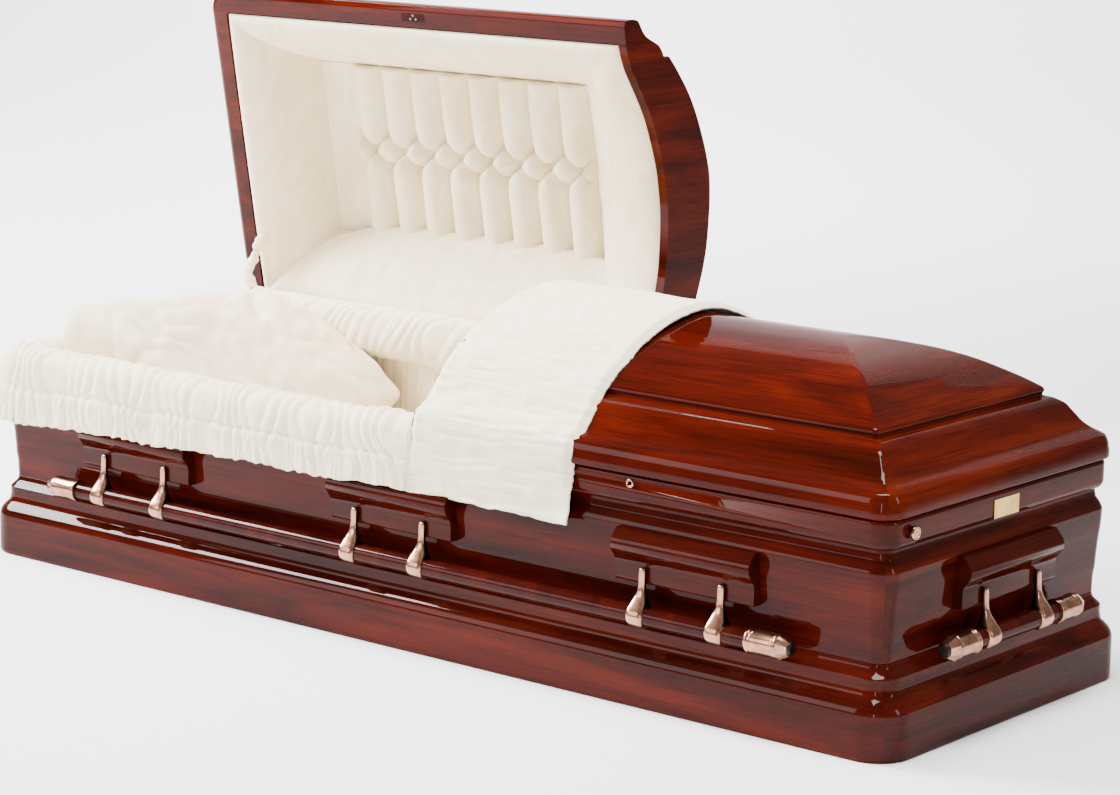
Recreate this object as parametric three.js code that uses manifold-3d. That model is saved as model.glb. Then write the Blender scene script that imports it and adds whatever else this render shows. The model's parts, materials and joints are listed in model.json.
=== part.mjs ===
// Half-couch funeral casket, millimetres, +Z up. The long axis is X: the head end is at -X, the foot end
// at +X, and the front long side faces -Y. The origin is the middle of the underside.
// The head lid is open, the foot lid is closed.
import * as THREE from 'three';
import { mergeVertices } from 'three/addons/utils/BufferGeometryUtils.js';
import Module from 'manifold-3d';

const wasm = await Module();
wasm.setup();

// Overall size. Every moulding is given by its inset from the outermost face of the plinth.
const LENGTH = 2110;
const WIDTH = 726;
const CORNER_R = 63;          // vertical corner radius of the plinth band
const MITRE_R = 9;            // smallest corner radius of the inner mouldings
const CORNER_STEPS = 4;       // facets per quarter turn in plan
const FIT = 0.3;              // gap between pieces that touch

// Plinth
const PLINTH_WALL_INSET = 44;
const PLINTH_PROFILE = [
  [3, 0], [0, 4], [0, 76], [4, 86], [12, 95], [19, 102], [21.5, 110], [22.5, 120], [22, 129],
  [30, 136], [36, 143], [37.5, 150],
];
const PLINTH_TOP = 150;

// Rail
const RAIL_TOP = 380;
const RAIL_HEIGHT = 47;
const RAIL_BASE = RAIL_TOP - RAIL_HEIGHT;
const RAIL_FACE_INSET = 26;
const RAIL_INNER_INSET = 62;
const RAIL_PROFILE = [
  [33, RAIL_BASE], [29, RAIL_BASE + 4], [RAIL_FACE_INSET, RAIL_BASE + 10], [RAIL_FACE_INSET, RAIL_TOP - 4],
  [RAIL_FACE_INSET + 2, RAIL_TOP], [RAIL_INNER_INSET, RAIL_TOP], [RAIL_INNER_INSET, RAIL_BASE],
];

// Shell
const BOTTOM_BOARD = 22;      // thickness of the bottom board, flush with the plinth's underside
const SHELL_INNER_INSET = 60;
const SHELL_FACE = [
  [37.5, PLINTH_TOP + FIT], [36.6, 179], [34.2, 196], [32.7, 219], [30.1, 248], [28.1, 262],
  [26.6, RAIL_BASE - 50], [26, RAIL_BASE - 36], [31, RAIL_BASE - 26], [38, RAIL_BASE - 17],
  [40, RAIL_BASE - 6],
];

// Lids
const LID_BASE = RAIL_TOP + 1;
const RIM_INNER_INSET = 62;
const HEADER_X = 41;          // cut face of the head lid's header board
const LID_GAP = 4;            // between the two header boards
const HEADER_THICK = 19;
const HEAD_BOARD = [HEADER_X - HEADER_THICK, HEADER_X];
const FOOT_BOARD = [HEADER_X + LID_GAP, HEADER_X + LID_GAP + HEADER_THICK];
const LID_OUTER = [
  [29, LID_BASE], [19.3, 385], [18.6, 392], [22, 413], [26.6, 423], [36.7, 428], [51.8, 435],
  [62, 444], [70.6, 456], [78, 467], [84, 475.5], [91.6, 481], [100, 485.6], [110, 488.6],
  [113.4, 491.2], [110.2, 498.5], [113, 504], [134, 518.5], [160, 534], [188, 549.5],
  [215, 561.5], [242, 571], [275, 580], [307, 587.5], [335, 592], [354, 594],
];
const LID_INNER = [
  [RIM_INNER_INSET, LID_BASE - 6], [RIM_INNER_INSET, 424], [82, 446], [96, 461], [112, 473], [130, 496],
  [160, 516], [188, 532], [242, 554], [300, 570], [350, 577],
];
// Lower edge of the arched header board, from the front rim to the middle of the casket
const HEADER_ARCH = [
  [RIM_INNER_INSET, LID_BASE - 6], [RIM_INNER_INSET, 382], [78, 383], [109, 391], [141, 405], [178, 422],
  [219, 438], [268, 450], [306, 457], [WIDTH / 2, 460.5],
];

// Hinges: the pin stands clear behind the rail
const PIN_INSET = 15;
const PIN_Z = 380.5;
const OPEN_DEG = 80;
const BARREL_R = 3;
const HINGE_LEAF = 1.4;
const LEAF_BOTTOM = 350;
const LEAF_TOP = 412.5;
const HINGE_END = 70;         // from the end of the casket to the end of a hinge
const HEAD_HINGE_X = [-LENGTH / 2 + HINGE_END, HEAD_BOARD[0] - 4];
const FOOT_HINGE_X = [FOOT_BOARD[1] + 4, LENGTH / 2 - HINGE_END];

// Handles, in the frame of one side: x along the side, a outward from the plinth face, z up
const SIDE_BLOCKS = [-644, 0, 644];
const BLOCK_HALF = 141;
const BLOCK_FACE = [[-15, 208], [-13, 211], [-13, 240], [3, 262], [3, 272], [-13, 296]];
const ARM_OFFSET = 80;
const PIVOT_A = -8.9;
const PIVOT_Z = 232;
const BAR_A = -3;
const BAR_Z = 157;
const BAR_R = 16;
const COLLAR_R = 20;
const COLLAR_HALF = 13;
const CAP_R = 21;
const CAP_LENGTH = 62;
const CAP_CONE = 17;
const CAP_BUTTON_R = 12;
const CAP_BUTTON = 5;
// bare bar beyond the last arm, then the half length out to the edge of the cap's cylinder
const SIDE_BAR_SPARE = 50;
const END_BAR_SPARE = 30;
const SIDE_BAR_HALF = SIDE_BLOCKS.at(-1) + ARM_OFFSET + COLLAR_HALF + SIDE_BAR_SPARE + CAP_LENGTH;
const END_BAR_HALF = ARM_OFFSET + COLLAR_HALF + END_BAR_SPARE + CAP_LENGTH;
const ROUND_STEPS = 12;       // facets round a turned piece

// Small fittings
const KEY = { x: 521, z: 368, r: 8, hole: 3.6, t: 2.4 };
const PLUG = { y: -276, z: 358, r: 11.5, t: 12 };
const PLATE = { half: 37, z0: 338, z1: 369, t: 1.4 };
const LATCH = { x: -480, half: 30, inset0: 34, inset1: 50, t: 1.6 };

// Bedding
const MATTRESS_INSET = 70;
const MATTRESS_TOP = 245;
const LINING_T = 4;
const LINING_BASE = 40;
const LINING_TOP = RAIL_BASE - 1;
const SKIRT_HEM = 280;
const EXTENDOVER_END = 36;    // where the front extendover stops beside the throw
const THROW_X = [FOOT_BOARD[0] + 1, 405];
const THROW_HEM = 286;
// Panels inside the lids: `end` from the end of the casket, `head` the edge towards the header boards,
// `front` and `rear` insets of the long edges, t the thickness
const PANEL = { end: 177, head: -172, front: 186, rear: 181, t: 6 };
const FOOT_PANEL = { end: 175, head: 230, front: 186, rear: 186, t: 6 };
const PANEL_CLEAR = 5;        // between a panel and the dome over its edges
const ROLL_T = 6;
const ROLL_BULGE = 26;
const PILLOW_HALF = 250;
const PILLOW_EDGE = 22;       // how far in from each end the pillow is full
// distances from the head end of the casket, and heights
const PILLOW_MIDDLE = [265, 340];
const PILLOW_PROFILE = [
  [97, MATTRESS_TOP + FIT], [87, 300], [87, 440], [110, 468], [205, 482], [295, 467],
  [365, 432], [445, 385], [499, 318], [521, 272], [507, MATTRESS_TOP + FIT],
];
// rear roll: insets, and heights above the top of the rail
const REAR_ROLL = [
  [30, FIT], [28, 18], [34, 50], [52, 69], [74, 76], [95, 66], [105, 40], [108, 12], [103, -15], [92, -28],
];
// stay cover: distances from the head end, insets from the rear, and heights
const STAY_PATH = [[71, 67, 452], [65, 65, 480], [81, 63, 520], [97, 62, 560]];
const STAY_HALF = [9, 11];

const MAHOGANY = { color: 0x5a2015, roughness: 0.12, metalness: 0 };
const DARK_MAHOGANY = { color: 0x34120d, roughness: 0.15, metalness: 0 };
const COPPER = { color: 0xa07a62, roughness: 0.28, metalness: 1 };
const BRASS = { color: 0xb08d45, roughness: 0.35, metalness: 1 };
const STEEL = { color: 0x8a8682, roughness: 0.4, metalness: 1 };
const VELVET = { color: 0xf0ebe1, roughness: 0.85, metalness: 0 };
const TICKING = { color: 0xe6dfd2, roughness: 0.9, metalness: 0 };

// One plan outline: a rounded rectangle at an inset from the plinth face, anticlockwise from above.
function outline(inset, z) {
  const hx = LENGTH / 2 - inset;
  const hy = WIDTH / 2 - inset;
  const r = Math.min(Math.max(CORNER_R - inset, MITRE_R), hy - 1);
  const points = [];
  [[1, -1, -90], [1, 1, 0], [-1, 1, 90], [-1, -1, 180]].forEach(([sx, sy, start]) => {
    for (let k = 0; k <= CORNER_STEPS; k++) {
      const a = THREE.MathUtils.degToRad(start + (90 * k) / CORNER_STEPS);
      points.push([sx * (hx - r) + r * Math.cos(a), sy * (hy - r) + r * Math.sin(a), z]);
    }
  });
  return points;
}

// A closed body skinned over equal-sized sections. Capped ends are triangulated in the plane that
// `flat` picks; a ring joins its last section to its first.
function skin(sections, { ring = false, flat = ([x, y]) => [x, y] } = {}) {
  const n = sections[0].length;
  const position = sections.flat(2);
  const index = [];
  const strips = ring ? sections.length : sections.length - 1;
  for (let i = 0; i < strips; i++) {
    const a = i * n;
    const b = ((i + 1) % sections.length) * n;
    for (let j = 0; j < n; j++) {
      const k = (j + 1) % n;
      index.push(a + j, a + k, b + k, a + j, b + k, b + j);
    }
  }
  if (!ring) {
    // a triangle runs with its outline where both have the same sense
    const cap = (section, base, forward) => {
      const loop = section.map((p) => new THREE.Vector2(...flat(p)));
      const sense = THREE.ShapeUtils.area(loop) > 0;
      THREE.ShapeUtils.triangulateShape(loop, []).forEach(([p, q, r]) => {
        const along = THREE.ShapeUtils.area([loop[p], loop[q], loop[r]]) > 0 === sense;
        index.push(...(along === forward ? [base + p, base + q, base + r] : [base + r, base + q, base + p]));
      });
    };
    cap(sections[0], 0, false);
    cap(sections.at(-1), (sections.length - 1) * n, true);
  }
  const geometry = new THREE.BufferGeometry();
  geometry.setAttribute('position', new THREE.Float32BufferAttribute(position, 3));
  geometry.setIndex(index);
  return outward(geometry);
}

// Turns a closed geometry so that its faces point out.
function outward(geometry) {
  const p = geometry.getAttribute('position');
  const index = geometry.getIndex().array;
  const [a, b, c] = [new THREE.Vector3(), new THREE.Vector3(), new THREE.Vector3()];
  let volume = 0;
  for (let i = 0; i < index.length; i += 3) {
    a.fromBufferAttribute(p, index[i]);
    b.fromBufferAttribute(p, index[i + 1]);
    c.fromBufferAttribute(p, index[i + 2]);
    volume += a.dot(b.cross(c));
  }
  if (volume < 0) {
    for (let i = 0; i < index.length; i += 3) [index[i], index[i + 1]] = [index[i + 1], index[i]];
  }
  geometry.computeVertexNormals();
  return geometry;
}

const toSolid = (geometry) => {
  const g = geometry.clone();
  ['normal', 'uv'].forEach((name) => g.deleteAttribute(name));
  const merged = mergeVertices(g, 1e-3);
  return new wasm.Manifold(new wasm.Mesh({
    numProp: 3,
    vertProperties: new Float32Array(merged.getAttribute('position').array),
    triVerts: new Uint32Array(merged.getIndex().array),
  }));
};

const toGeometry = (solid) => {
  const mesh = solid.getMesh();
  const geometry = new THREE.BufferGeometry();
  geometry.setAttribute('position', new THREE.BufferAttribute(new Float32Array(mesh.vertProperties), 3));
  geometry.setIndex(new THREE.BufferAttribute(new Uint32Array(mesh.triVerts), 1));
  geometry.computeVertexNormals();
  return geometry;
};

const box = (x0, x1, y0, y1, z0, z1) => new THREE.BoxGeometry(x1 - x0, y1 - y0, z1 - z0)
  .translate((x0 + x1) / 2, (y0 + y1) / 2, (z0 + z1) / 2);

// A closed section [inset, z] carried round the whole plan.
const mouldingRing = (profile) => skin(profile.map(([d, z]) => outline(d, z)), { ring: true });

// A closed [y, z] section drawn out along X.
const alongX = (section, x0, x1) => skin(
  [x0, x1].map((x) => section.map(([y, z]) => [x, y, z])), { flat: ([, y, z]) => [y, z] });

const root = new THREE.Group();
const add = (name, geometry, finish, parent = root) => {
  const mesh = new THREE.Mesh(geometry, new THREE.MeshStandardMaterial(finish));
  mesh.name = name;
  parent.add(mesh);
  return mesh;
};

// Plinth, shell and rail
add('plinth', mouldingRing([
  ...PLINTH_PROFILE, [PLINTH_WALL_INSET, PLINTH_TOP], [PLINTH_WALL_INSET, 0],
]), MAHOGANY);

const shellTop = RAIL_BASE - FIT;
add('shell', skin([
  [PLINTH_WALL_INSET + FIT, 0], [PLINTH_WALL_INSET + FIT, PLINTH_TOP + FIT], ...SHELL_FACE,
  [40, shellTop], [SHELL_INNER_INSET, shellTop], [SHELL_INNER_INSET, BOTTOM_BOARD],
].map(([d, z]) => outline(d, z))), MAHOGANY);

const railRing = mouldingRing(RAIL_PROFILE);

// A disc on a side face, its axis along `axis`.
const disc = (r, t, axis, steps = ROUND_STEPS) => {
  const g = new THREE.CylinderGeometry(r, r, t, steps);
  return axis === 'x' ? g.rotateZ(Math.PI / 2) : g;
};
const railFaceY = -WIDTH / 2 + RAIL_FACE_INSET;
const railFaceX = LENGTH / 2 - RAIL_FACE_INSET;
const keyWell = disc(KEY.hole, 12, 'y', 8).translate(KEY.x, railFaceY + 5, KEY.z);
const rail = toSolid(railRing).subtract(toSolid(keyWell));
add('rail', toGeometry(rail), MAHOGANY);

add('key_escutcheon', toGeometry(
  toSolid(disc(KEY.r, KEY.t, 'y', 16).translate(KEY.x, railFaceY - FIT - KEY.t / 2, KEY.z))
    .subtract(toSolid(disc(KEY.hole, 3 * KEY.t, 'y', 8).translate(KEY.x, railFaceY - KEY.t, KEY.z)))), COPPER);

const plugProfile = [[0, 0], [PLUG.r * 0.6, 0], [PLUG.r * 0.6, 3.5], [PLUG.r, 4.5], [PLUG.r, PLUG.t - 2],
  [PLUG.r - 2.5, PLUG.t], [0, PLUG.t]];
add('lock_plug', new THREE.LatheGeometry(plugProfile.map(([r, h]) => new THREE.Vector2(r, h)), ROUND_STEPS)
  .rotateZ(-Math.PI / 2).translate(railFaceX + FIT, PLUG.y, PLUG.z), COPPER);

add('name_plate', box(railFaceX + FIT, railFaceX + FIT + PLATE.t, -PLATE.half, PLATE.half, PLATE.z0, PLATE.z1),
  BRASS);

// Lids. Both are cut from one dome, hollow, each closed at the cut by an arched header board.
const dome = toSolid(skin(LID_OUTER.map(([d, z]) => outline(d, z))));
const hollow = toSolid(skin(LID_INNER.map(([d, z]) => outline(d, z))));
const slab = (x0, x1) => toSolid(box(x0, x1, -WIDTH, WIDTH, 0, 2 * LENGTH));
const arch = (() => {
  const half = HEADER_ARCH.map(([d, z]) => [d - WIDTH / 2, z]);
  return [...half, ...half.slice(0, -1).reverse().map(([y, z]) => [-y, z])];
})();
// the dome over `span`, hollow over `room`, with the arch cut through its header board
const lid = (span, room, board) => dome.intersect(slab(...span))
  .subtract(hollow.intersect(slab(...room)))
  .subtract(toSolid(alongX(arch, board[0] - 1, board[1] + 1)));
const headLidSolid = lid([-LENGTH, HEAD_BOARD[1]], [-LENGTH, HEAD_BOARD[0]], HEAD_BOARD);
const footLidSolid = lid([FOOT_BOARD[0], LENGTH], [FOOT_BOARD[1], LENGTH], FOOT_BOARD);

const pinY = WIDTH / 2 - PIN_INSET;
const headLid = new THREE.Group();
headLid.position.set(0, pinY, PIN_Z);
headLid.rotation.x = -THREE.MathUtils.degToRad(OPEN_DEG);
root.add(headLid);
const onHeadLid = (name, geometry, finish) => add(name, geometry.translate(0, -pinY, -PIN_Z), finish, headLid);

const latchY = [-WIDTH / 2 + LATCH.inset0, -WIDTH / 2 + LATCH.inset1];
const latchRecess = toSolid(box(LATCH.x - LATCH.half - FIT, LATCH.x + LATCH.half + FIT,
  latchY[0] - FIT, latchY[1] + FIT, LID_BASE - 1, LID_BASE + LATCH.t + FIT));
onHeadLid('head_lid', toGeometry(headLidSolid.subtract(latchRecess)), MAHOGANY);
onHeadLid('latch_insert', box(LATCH.x - LATCH.half, LATCH.x + LATCH.half, ...latchY, LID_BASE,
  LID_BASE + LATCH.t), STEEL);
add('foot_lid', toGeometry(footLidSolid), MAHOGANY);

// Hinges, as [inset from the rear face, z] sections drawn along X
const rear = (section) => section.map(([d, z]) => [WIDTH / 2 - d, z]);
const barrel = (from, to, steps) => Array.from({ length: steps + 1 }, (_, k) => {
  const a = THREE.MathUtils.degToRad(from + ((to - from) * k) / steps);
  return [PIN_INSET + BARREL_R * Math.cos(a), PIN_Z + BARREL_R * Math.sin(a)];
});
const leafIn = RAIL_FACE_INSET - FIT;
const fixedLeaf = rear([
  ...barrel(-18, -342, 12), [leafIn, PIN_Z + 0.9], [leafIn, LEAF_BOTTOM], [leafIn - HINGE_LEAF, LEAF_BOTTOM],
  [leafIn - HINGE_LEAF, PIN_Z - 0.9],
]);
const movingLeaf = rear([
  [15.2, PIN_Z + BARREL_R + FIT], [17.4, PIN_Z + BARREL_R + FIT], [18.1, 392], [21.6, LEAF_TOP],
  [21.6 - HINGE_LEAF, LEAF_TOP], [18.1 - HINGE_LEAF, 392],
]);
add('head_lid_hinge_fixed', alongX(fixedLeaf, ...HEAD_HINGE_X), STEEL);
add('foot_lid_hinge_fixed', alongX(fixedLeaf, ...FOOT_HINGE_X), STEEL);
onHeadLid('head_lid_hinge_moving', alongX(movingLeaf, ...HEAD_HINGE_X), STEEL);
add('foot_lid_hinge_moving', alongX(movingLeaf, ...FOOT_HINGE_X), STEEL);

// Handles. The back of a block follows the hollow face of the shell.
const facing = SHELL_FACE.filter(([, z]) => z > 210 && z < 290).map(([d, z]) => [-d + FIT, z]);
const shellInsetAt = (z) => {
  const i = SHELL_FACE.findIndex(([, s]) => s >= z);
  const [[d0, z0], [d1, z1]] = [SHELL_FACE[i - 1], SHELL_FACE[i]];
  return d0 + ((d1 - d0) * (z - z0)) / (z1 - z0);
};
const [blockBase, blockTop] = [BLOCK_FACE[0][1], BLOCK_FACE.at(-1)[1]];
const blockSection = [
  ...BLOCK_FACE, [-shellInsetAt(blockTop) + FIT, blockTop], ...facing.slice().reverse(),
  [-shellInsetAt(blockBase) + FIT, blockBase],
].map(([a, z]) => [-a, z]);

// Outline of the arm in plan at one height: half width, outer and inner reach, with cut corners
const armSection = ([z, half, out, back]) => {
  const c = Math.min(half, (out - back) / 2) * 0.45;
  return [
    [-half, out - c], [-half + c, out], [half - c, out], [half, out - c],
    [half, back + c], [half - c, back], [-half + c, back], [-half, back + c],
  ].map(([x, a]) => [x, -a, z]);
};
const stem = toSolid(skin([
  [160, 12, 13, -17], [176, 14, 8, -16.5], [188, 11.5, 1, -14.5], [200, 7.6, -4.4, -12.6],
  [230, 7, -5.2, -12.6], [PIVOT_Z + 3.7, 4.6, -7.2, -10.6],
].map(armSection)));
const collar = toSolid(new THREE.LatheGeometry([
  [0, -COLLAR_HALF], [COLLAR_R - 1.5, -COLLAR_HALF], [COLLAR_R, 0], [COLLAR_R - 1.5, COLLAR_HALF],
  [0, COLLAR_HALF],
].map(([r, h]) => new THREE.Vector2(r, h)), ROUND_STEPS).rotateZ(Math.PI / 2).translate(0, -BAR_A, BAR_Z));
const bore = toSolid(disc(BAR_R + FIT, 6 * COLLAR_HALF, 'x').translate(0, -BAR_A, BAR_Z));
const armGeometry = toGeometry(stem.add(collar).subtract(bore));

const capGeometry = new THREE.LatheGeometry([
  [0, FIT], [CAP_R, FIT], [CAP_R, 4], [CAP_R - 1, 5], [CAP_R - 1, CAP_LENGTH],
  [CAP_BUTTON_R, CAP_LENGTH + CAP_CONE], [CAP_BUTTON_R, CAP_LENGTH + CAP_CONE + 2],
  [CAP_BUTTON_R - 3, CAP_LENGTH + CAP_CONE + CAP_BUTTON],
  [0, CAP_LENGTH + CAP_CONE + CAP_BUTTON],
].map(([r, h]) => new THREE.Vector2(r, h)), ROUND_STEPS);

function handle(side, blocks, half, offset, turn) {
  const frame = new THREE.Group();
  frame.rotation.z = THREE.MathUtils.degToRad(turn);
  frame.position.set(...offset, 0);
  root.add(frame);
  blocks.forEach((x, i) => {
    const tag = blocks.length > 1 ? `${side}_${i + 1}` : side;
    add(`handle_block_${tag}`, alongX(blockSection, x - BLOCK_HALF, x + BLOCK_HALF), DARK_MAHOGANY, frame);
    [-ARM_OFFSET, ARM_OFFSET].forEach((dx, k) => {
      const arm = add(`arm_${tag}_${'ab'[k]}`, armGeometry.clone(), COPPER, frame);
      arm.position.x = x + dx;
    });
  });
  add(`bar_${side}`, disc(BAR_R, 2 * (half - CAP_LENGTH), 'x').translate(0, -BAR_A, BAR_Z),
    DARK_MAHOGANY, frame);
  [-1, 1].forEach((sign) => {
    const cap = add(`bar_cap_${side}_${sign < 0 ? 'a' : 'b'}`, capGeometry.clone()
      .rotateZ((-sign * Math.PI) / 2), COPPER, frame);
    cap.position.set(sign * (half - CAP_LENGTH), -BAR_A, BAR_Z);
  });
}
handle('front', SIDE_BLOCKS, SIDE_BAR_HALF, [0, -WIDTH / 2], 0);
handle('rear', SIDE_BLOCKS, SIDE_BAR_HALF, [0, WIDTH / 2], 180);
handle('foot', [0], END_BAR_HALF, [LENGTH / 2, 0], 90);
handle('head', [0], END_BAR_HALF, [-LENGTH / 2, 0], -90);

// Bedding in the box
add('mattress', skin([
  [MATTRESS_INSET + 6, BOTTOM_BOARD + FIT], [MATTRESS_INSET, 40], [MATTRESS_INSET, 230],
  [MATTRESS_INSET + 5, 241], [MATTRESS_INSET + 16, MATTRESS_TOP],
].map(([d, z]) => outline(d, z))), TICKING);

const liningOuter = SHELL_INNER_INSET + FIT;
add('body_lining', mouldingRing([
  [liningOuter, LINING_BASE], [liningOuter, LINING_TOP], [liningOuter + LINING_T, LINING_TOP],
  [liningOuter + LINING_T, LINING_BASE],
]), VELVET);

const pillowSection = (y, size) => PILLOW_PROFILE.map(([x, z]) => {
  const [cx, cz] = PILLOW_MIDDLE;
  return [cx + (x - cx) * size - LENGTH / 2, y, Math.max(MATTRESS_TOP + FIT, cz + (z - cz) * size)];
});
add('pillow', skin([
  pillowSection(-PILLOW_HALF, 0.9), pillowSection(-PILLOW_HALF + PILLOW_EDGE, 1),
  pillowSection(PILLOW_HALF - PILLOW_EDGE, 1), pillowSection(PILLOW_HALF, 0.9),
], { flat: ([x, , z]) => [x, z] }), VELVET);

// The extendover: a padded roll over the rail whose skirt hangs outside down to the hem
const overRail = RAIL_TOP + FIT;
const inRail = RAIL_INNER_INSET + 2 * FIT + LINING_T;
const EXTENDOVER = [
  [inRail, RAIL_BASE + 3], [78, RAIL_BASE + 3], [81, 388], [64, 407], [42, 413], [20, 405], [3, 387], [-3, 352], [-5, 312],
  [-6, SKIRT_HEM], [1, SKIRT_HEM], [11.5, 298], [RAIL_FACE_INSET - 2 * FIT, 304],
  [RAIL_FACE_INSET - 2 * FIT, overRail], [inRail, overRail],
];
const CORNER_X = -LENGTH / 2 + 90;        // where the front run meets the corner
const HEAD_RUN_END = WIDTH / 2 - 95;
add('extendover_front', alongX(EXTENDOVER.map(([d, z]) => [d - WIDTH / 2, z]), CORNER_X + FIT,
  EXTENDOVER_END), VELVET);

// round the front corner and along the head end, stopping short of the rear corner
const headRun = (() => {
  const corner = EXTENDOVER.map(([d, z]) => outline(d, z).slice(-(CORNER_STEPS + 1)));
  return [
    EXTENDOVER.map(([d, z]) => [d - LENGTH / 2, HEAD_RUN_END, z]),
    ...corner[0].map((_, i) => corner.map((points) => points[i])),
    EXTENDOVER.map(([d, z]) => [CORNER_X, d - WIDTH / 2, z]),
  ];
})();
add('extendover_head', skin(headRun, { flat: ([x, y, z]) => [x + y, z] }), VELVET);

// The puffed roll along the rear wall of the head half, over the rail and down inside
add('rear_roll', alongX([
  [inRail, RAIL_TOP + REAR_ROLL.at(-1)[1]], [inRail, overRail], ...REAR_ROLL.map(([d, h]) => [d, RAIL_TOP + h]),
].map(([d, z]) => [WIDTH / 2 - d, z]), CORNER_X + FIT, EXTENDOVER_END), VELVET);

// The throw over the header end of the foot lid: under and upper lines as [inset, z]
const THROW_UNDER = [
  [5, THROW_HEM], [12, 298], [17.6, 304], [17.6, 392], [20.8, 414], [25.4, 425.4], [36, 430.6],
  [50, 437.6], [59.6, 446.6], [68, 458], [75.6, 469], [81.6, 478], [90.4, 484], [100, 488.6],
  [108, 491.4], [107.6, 499], [111.4, 506], [133, 520.6], [159, 536.2], [187, 551.6], [214.4, 563.6],
  [241.6, 573], [274.6, 582], [307, 589.6], [WIDTH / 2, 596.2],
];
const THROW_UPPER = [
  [-2, THROW_HEM], [3, 320], [7, 360], [8, 388], [10.5, 412], [17, 430], [30, 441], [46, 449], [57, 458],
  [66, 470], [75, 482], [85, 493], [95, 505], [107, 517], [130, 533], [158, 549], [185, 565],
  [212, 579], [240, 590], [274, 601], [307, 609], [WIDTH / 2, 615],
];
const REAR_END = 604;
const across = (line) => [...line, ...line.slice(0, -1).reverse().map(([d, z]) => [WIDTH - d, z])
  .filter(([d]) => d < REAR_END)];
const throwSection = [...across(THROW_UNDER), ...across(THROW_UPPER).reverse()]
  .map(([d, z]) => [d - WIDTH / 2, z]);
add('throw', alongX(throwSection, ...THROW_X), VELVET);

const archZ = (y) => {
  const d = WIDTH / 2 - Math.abs(y);
  const i = HEADER_ARCH.findIndex(([s]) => s >= d && s > RIM_INNER_INSET);
  const [[d0, z0], [d1, z1]] = [HEADER_ARCH[i - 1], HEADER_ARCH[i]];
  return z0 + ((z1 - z0) * (d - d0)) / (d1 - d0) + 1;
};

// Underside of a panel: under the dome over whichever edge lies lowest
const panelZ = (panel) => {
  const d = Math.min(panel.front, panel.rear, panel.end);
  const i = LID_INNER.findIndex(([s]) => s >= d);
  const [[d0, z0], [d1, z1]] = [LID_INNER[i - 1], LID_INNER[i]];
  return z0 + ((z1 - z0) * (d - d0)) / (d1 - d0) - PANEL_CLEAR - panel.t;
};
const placed = (panel, side) => {
  const xs = [panel.head, side * (LENGTH / 2 - panel.end)].sort((a, b) => a - b);
  return { x0: xs[0], x1: xs[1], y0: panel.front - WIDTH / 2, y1: WIDTH / 2 - panel.rear, z: panelZ(panel) };
};
const headPanel = placed(PANEL, -1);
const footPanel = placed(FOOT_PANEL, 1);

// Lid linings: padded rolls running from the rim in to a raised panel. Along the header board, at
// boardX, the roll's outer edge follows the arch; elsewhere it lies at the rim.
function rollLoops(panel, x0, x1, edge, boardX) {
  const steps = 7;
  const rimZ = LID_BASE + 3;
  const side = (from, to, fixed, run) => Array.from({ length: steps }, (_, k) => {
    const t = from + ((to - from) * k) / steps;
    return run === 'x' ? [t, fixed] : [fixed, t];
  });
  const loop = (a0, a1, b0, b1) => [
    ...side(a0, a1, b0, 'x'), ...side(b0, b1, a1, 'y'), ...side(a1, a0, b1, 'x'), ...side(b1, b0, a0, 'y'),
  ];
  const outer = loop(x0, x1, -WIDTH / 2 + edge, WIDTH / 2 - edge);
  const inner = loop(panel.x0, panel.x1, panel.y0, panel.y1);
  return (share, lift) => outer.map(([x, y], i) => {
    const [px, py] = inner[i];
    const z0 = Math.abs(x - boardX) < 1 ? archZ(y) : rimZ;
    const bulge = (z0 < LID_BASE + 20 ? ROLL_BULGE : 0.4 * ROLL_BULGE) * Math.sin(Math.PI * share);
    return [x + (px - x) * share, y + (py - y) * share, z0 + (panel.z - z0) * share - bulge + lift];
  });
}
const SHARES = [0, 0.3, 0.65, 1];
const ROLL_EDGE = RIM_INNER_INSET + MITRE_R * (1 - Math.SQRT1_2) + FIT;
const headRollAt = rollLoops(headPanel, -LENGTH / 2 + ROLL_EDGE, HEAD_BOARD[0] - 1, ROLL_EDGE, HEAD_BOARD[0] - 1);
onHeadLid('head_lid_roll', skin([
  ...SHARES.map((s) => headRollAt(s, 0)), ...SHARES.slice().reverse().map((s) => headRollAt(s, ROLL_T)),
], { ring: true }), VELVET);
onHeadLid('head_lid_panel', box(headPanel.x0 + 1, headPanel.x1 - 1, headPanel.y0 + 1, headPanel.y1 - 1,
  headPanel.z, headPanel.z + PANEL.t), VELVET);

const footRollAt = rollLoops(footPanel, FOOT_BOARD[1] + 1, LENGTH / 2 - ROLL_EDGE, ROLL_EDGE, FOOT_BOARD[1] + 1);
add('foot_lid_lining', skin([
  ...SHARES.slice().reverse().map((s) => footRollAt(s, 0)), ...SHARES.map((s) => footRollAt(s, ROLL_T)),
]), VELVET);

// Cloth sleeve of the lid stay, from the rear corner of the box up to the open lid
const stayPath = new THREE.CatmullRomCurve3(STAY_PATH
  .map(([end, inset, z]) => new THREE.Vector3(end - LENGTH / 2, WIDTH / 2 - inset, z)));
const stayRound = new THREE.Shape(Array.from({ length: 10 }, (_, k) => {
  const a = (k / 10) * 2 * Math.PI;
  return new THREE.Vector2(STAY_HALF[0] * Math.cos(a), STAY_HALF[1] * Math.sin(a));
}));
add('stay_cover', new THREE.ExtrudeGeometry(stayRound, { steps: 6, extrudePath: stayPath }), VELVET);

export default root;
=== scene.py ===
"""Half-couch funeral casket: the visual pieces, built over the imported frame.

Lengths in the classes are millimetres in the row frame: X along the casket with the head end at -X,
the front long side at -Y, Z up. Everything reaches Blender in metres through MM.
"""
from __future__ import annotations

import json
import logging
import math
from collections.abc import Callable, Sequence
from dataclasses import dataclass, field
from enum import Enum

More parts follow.
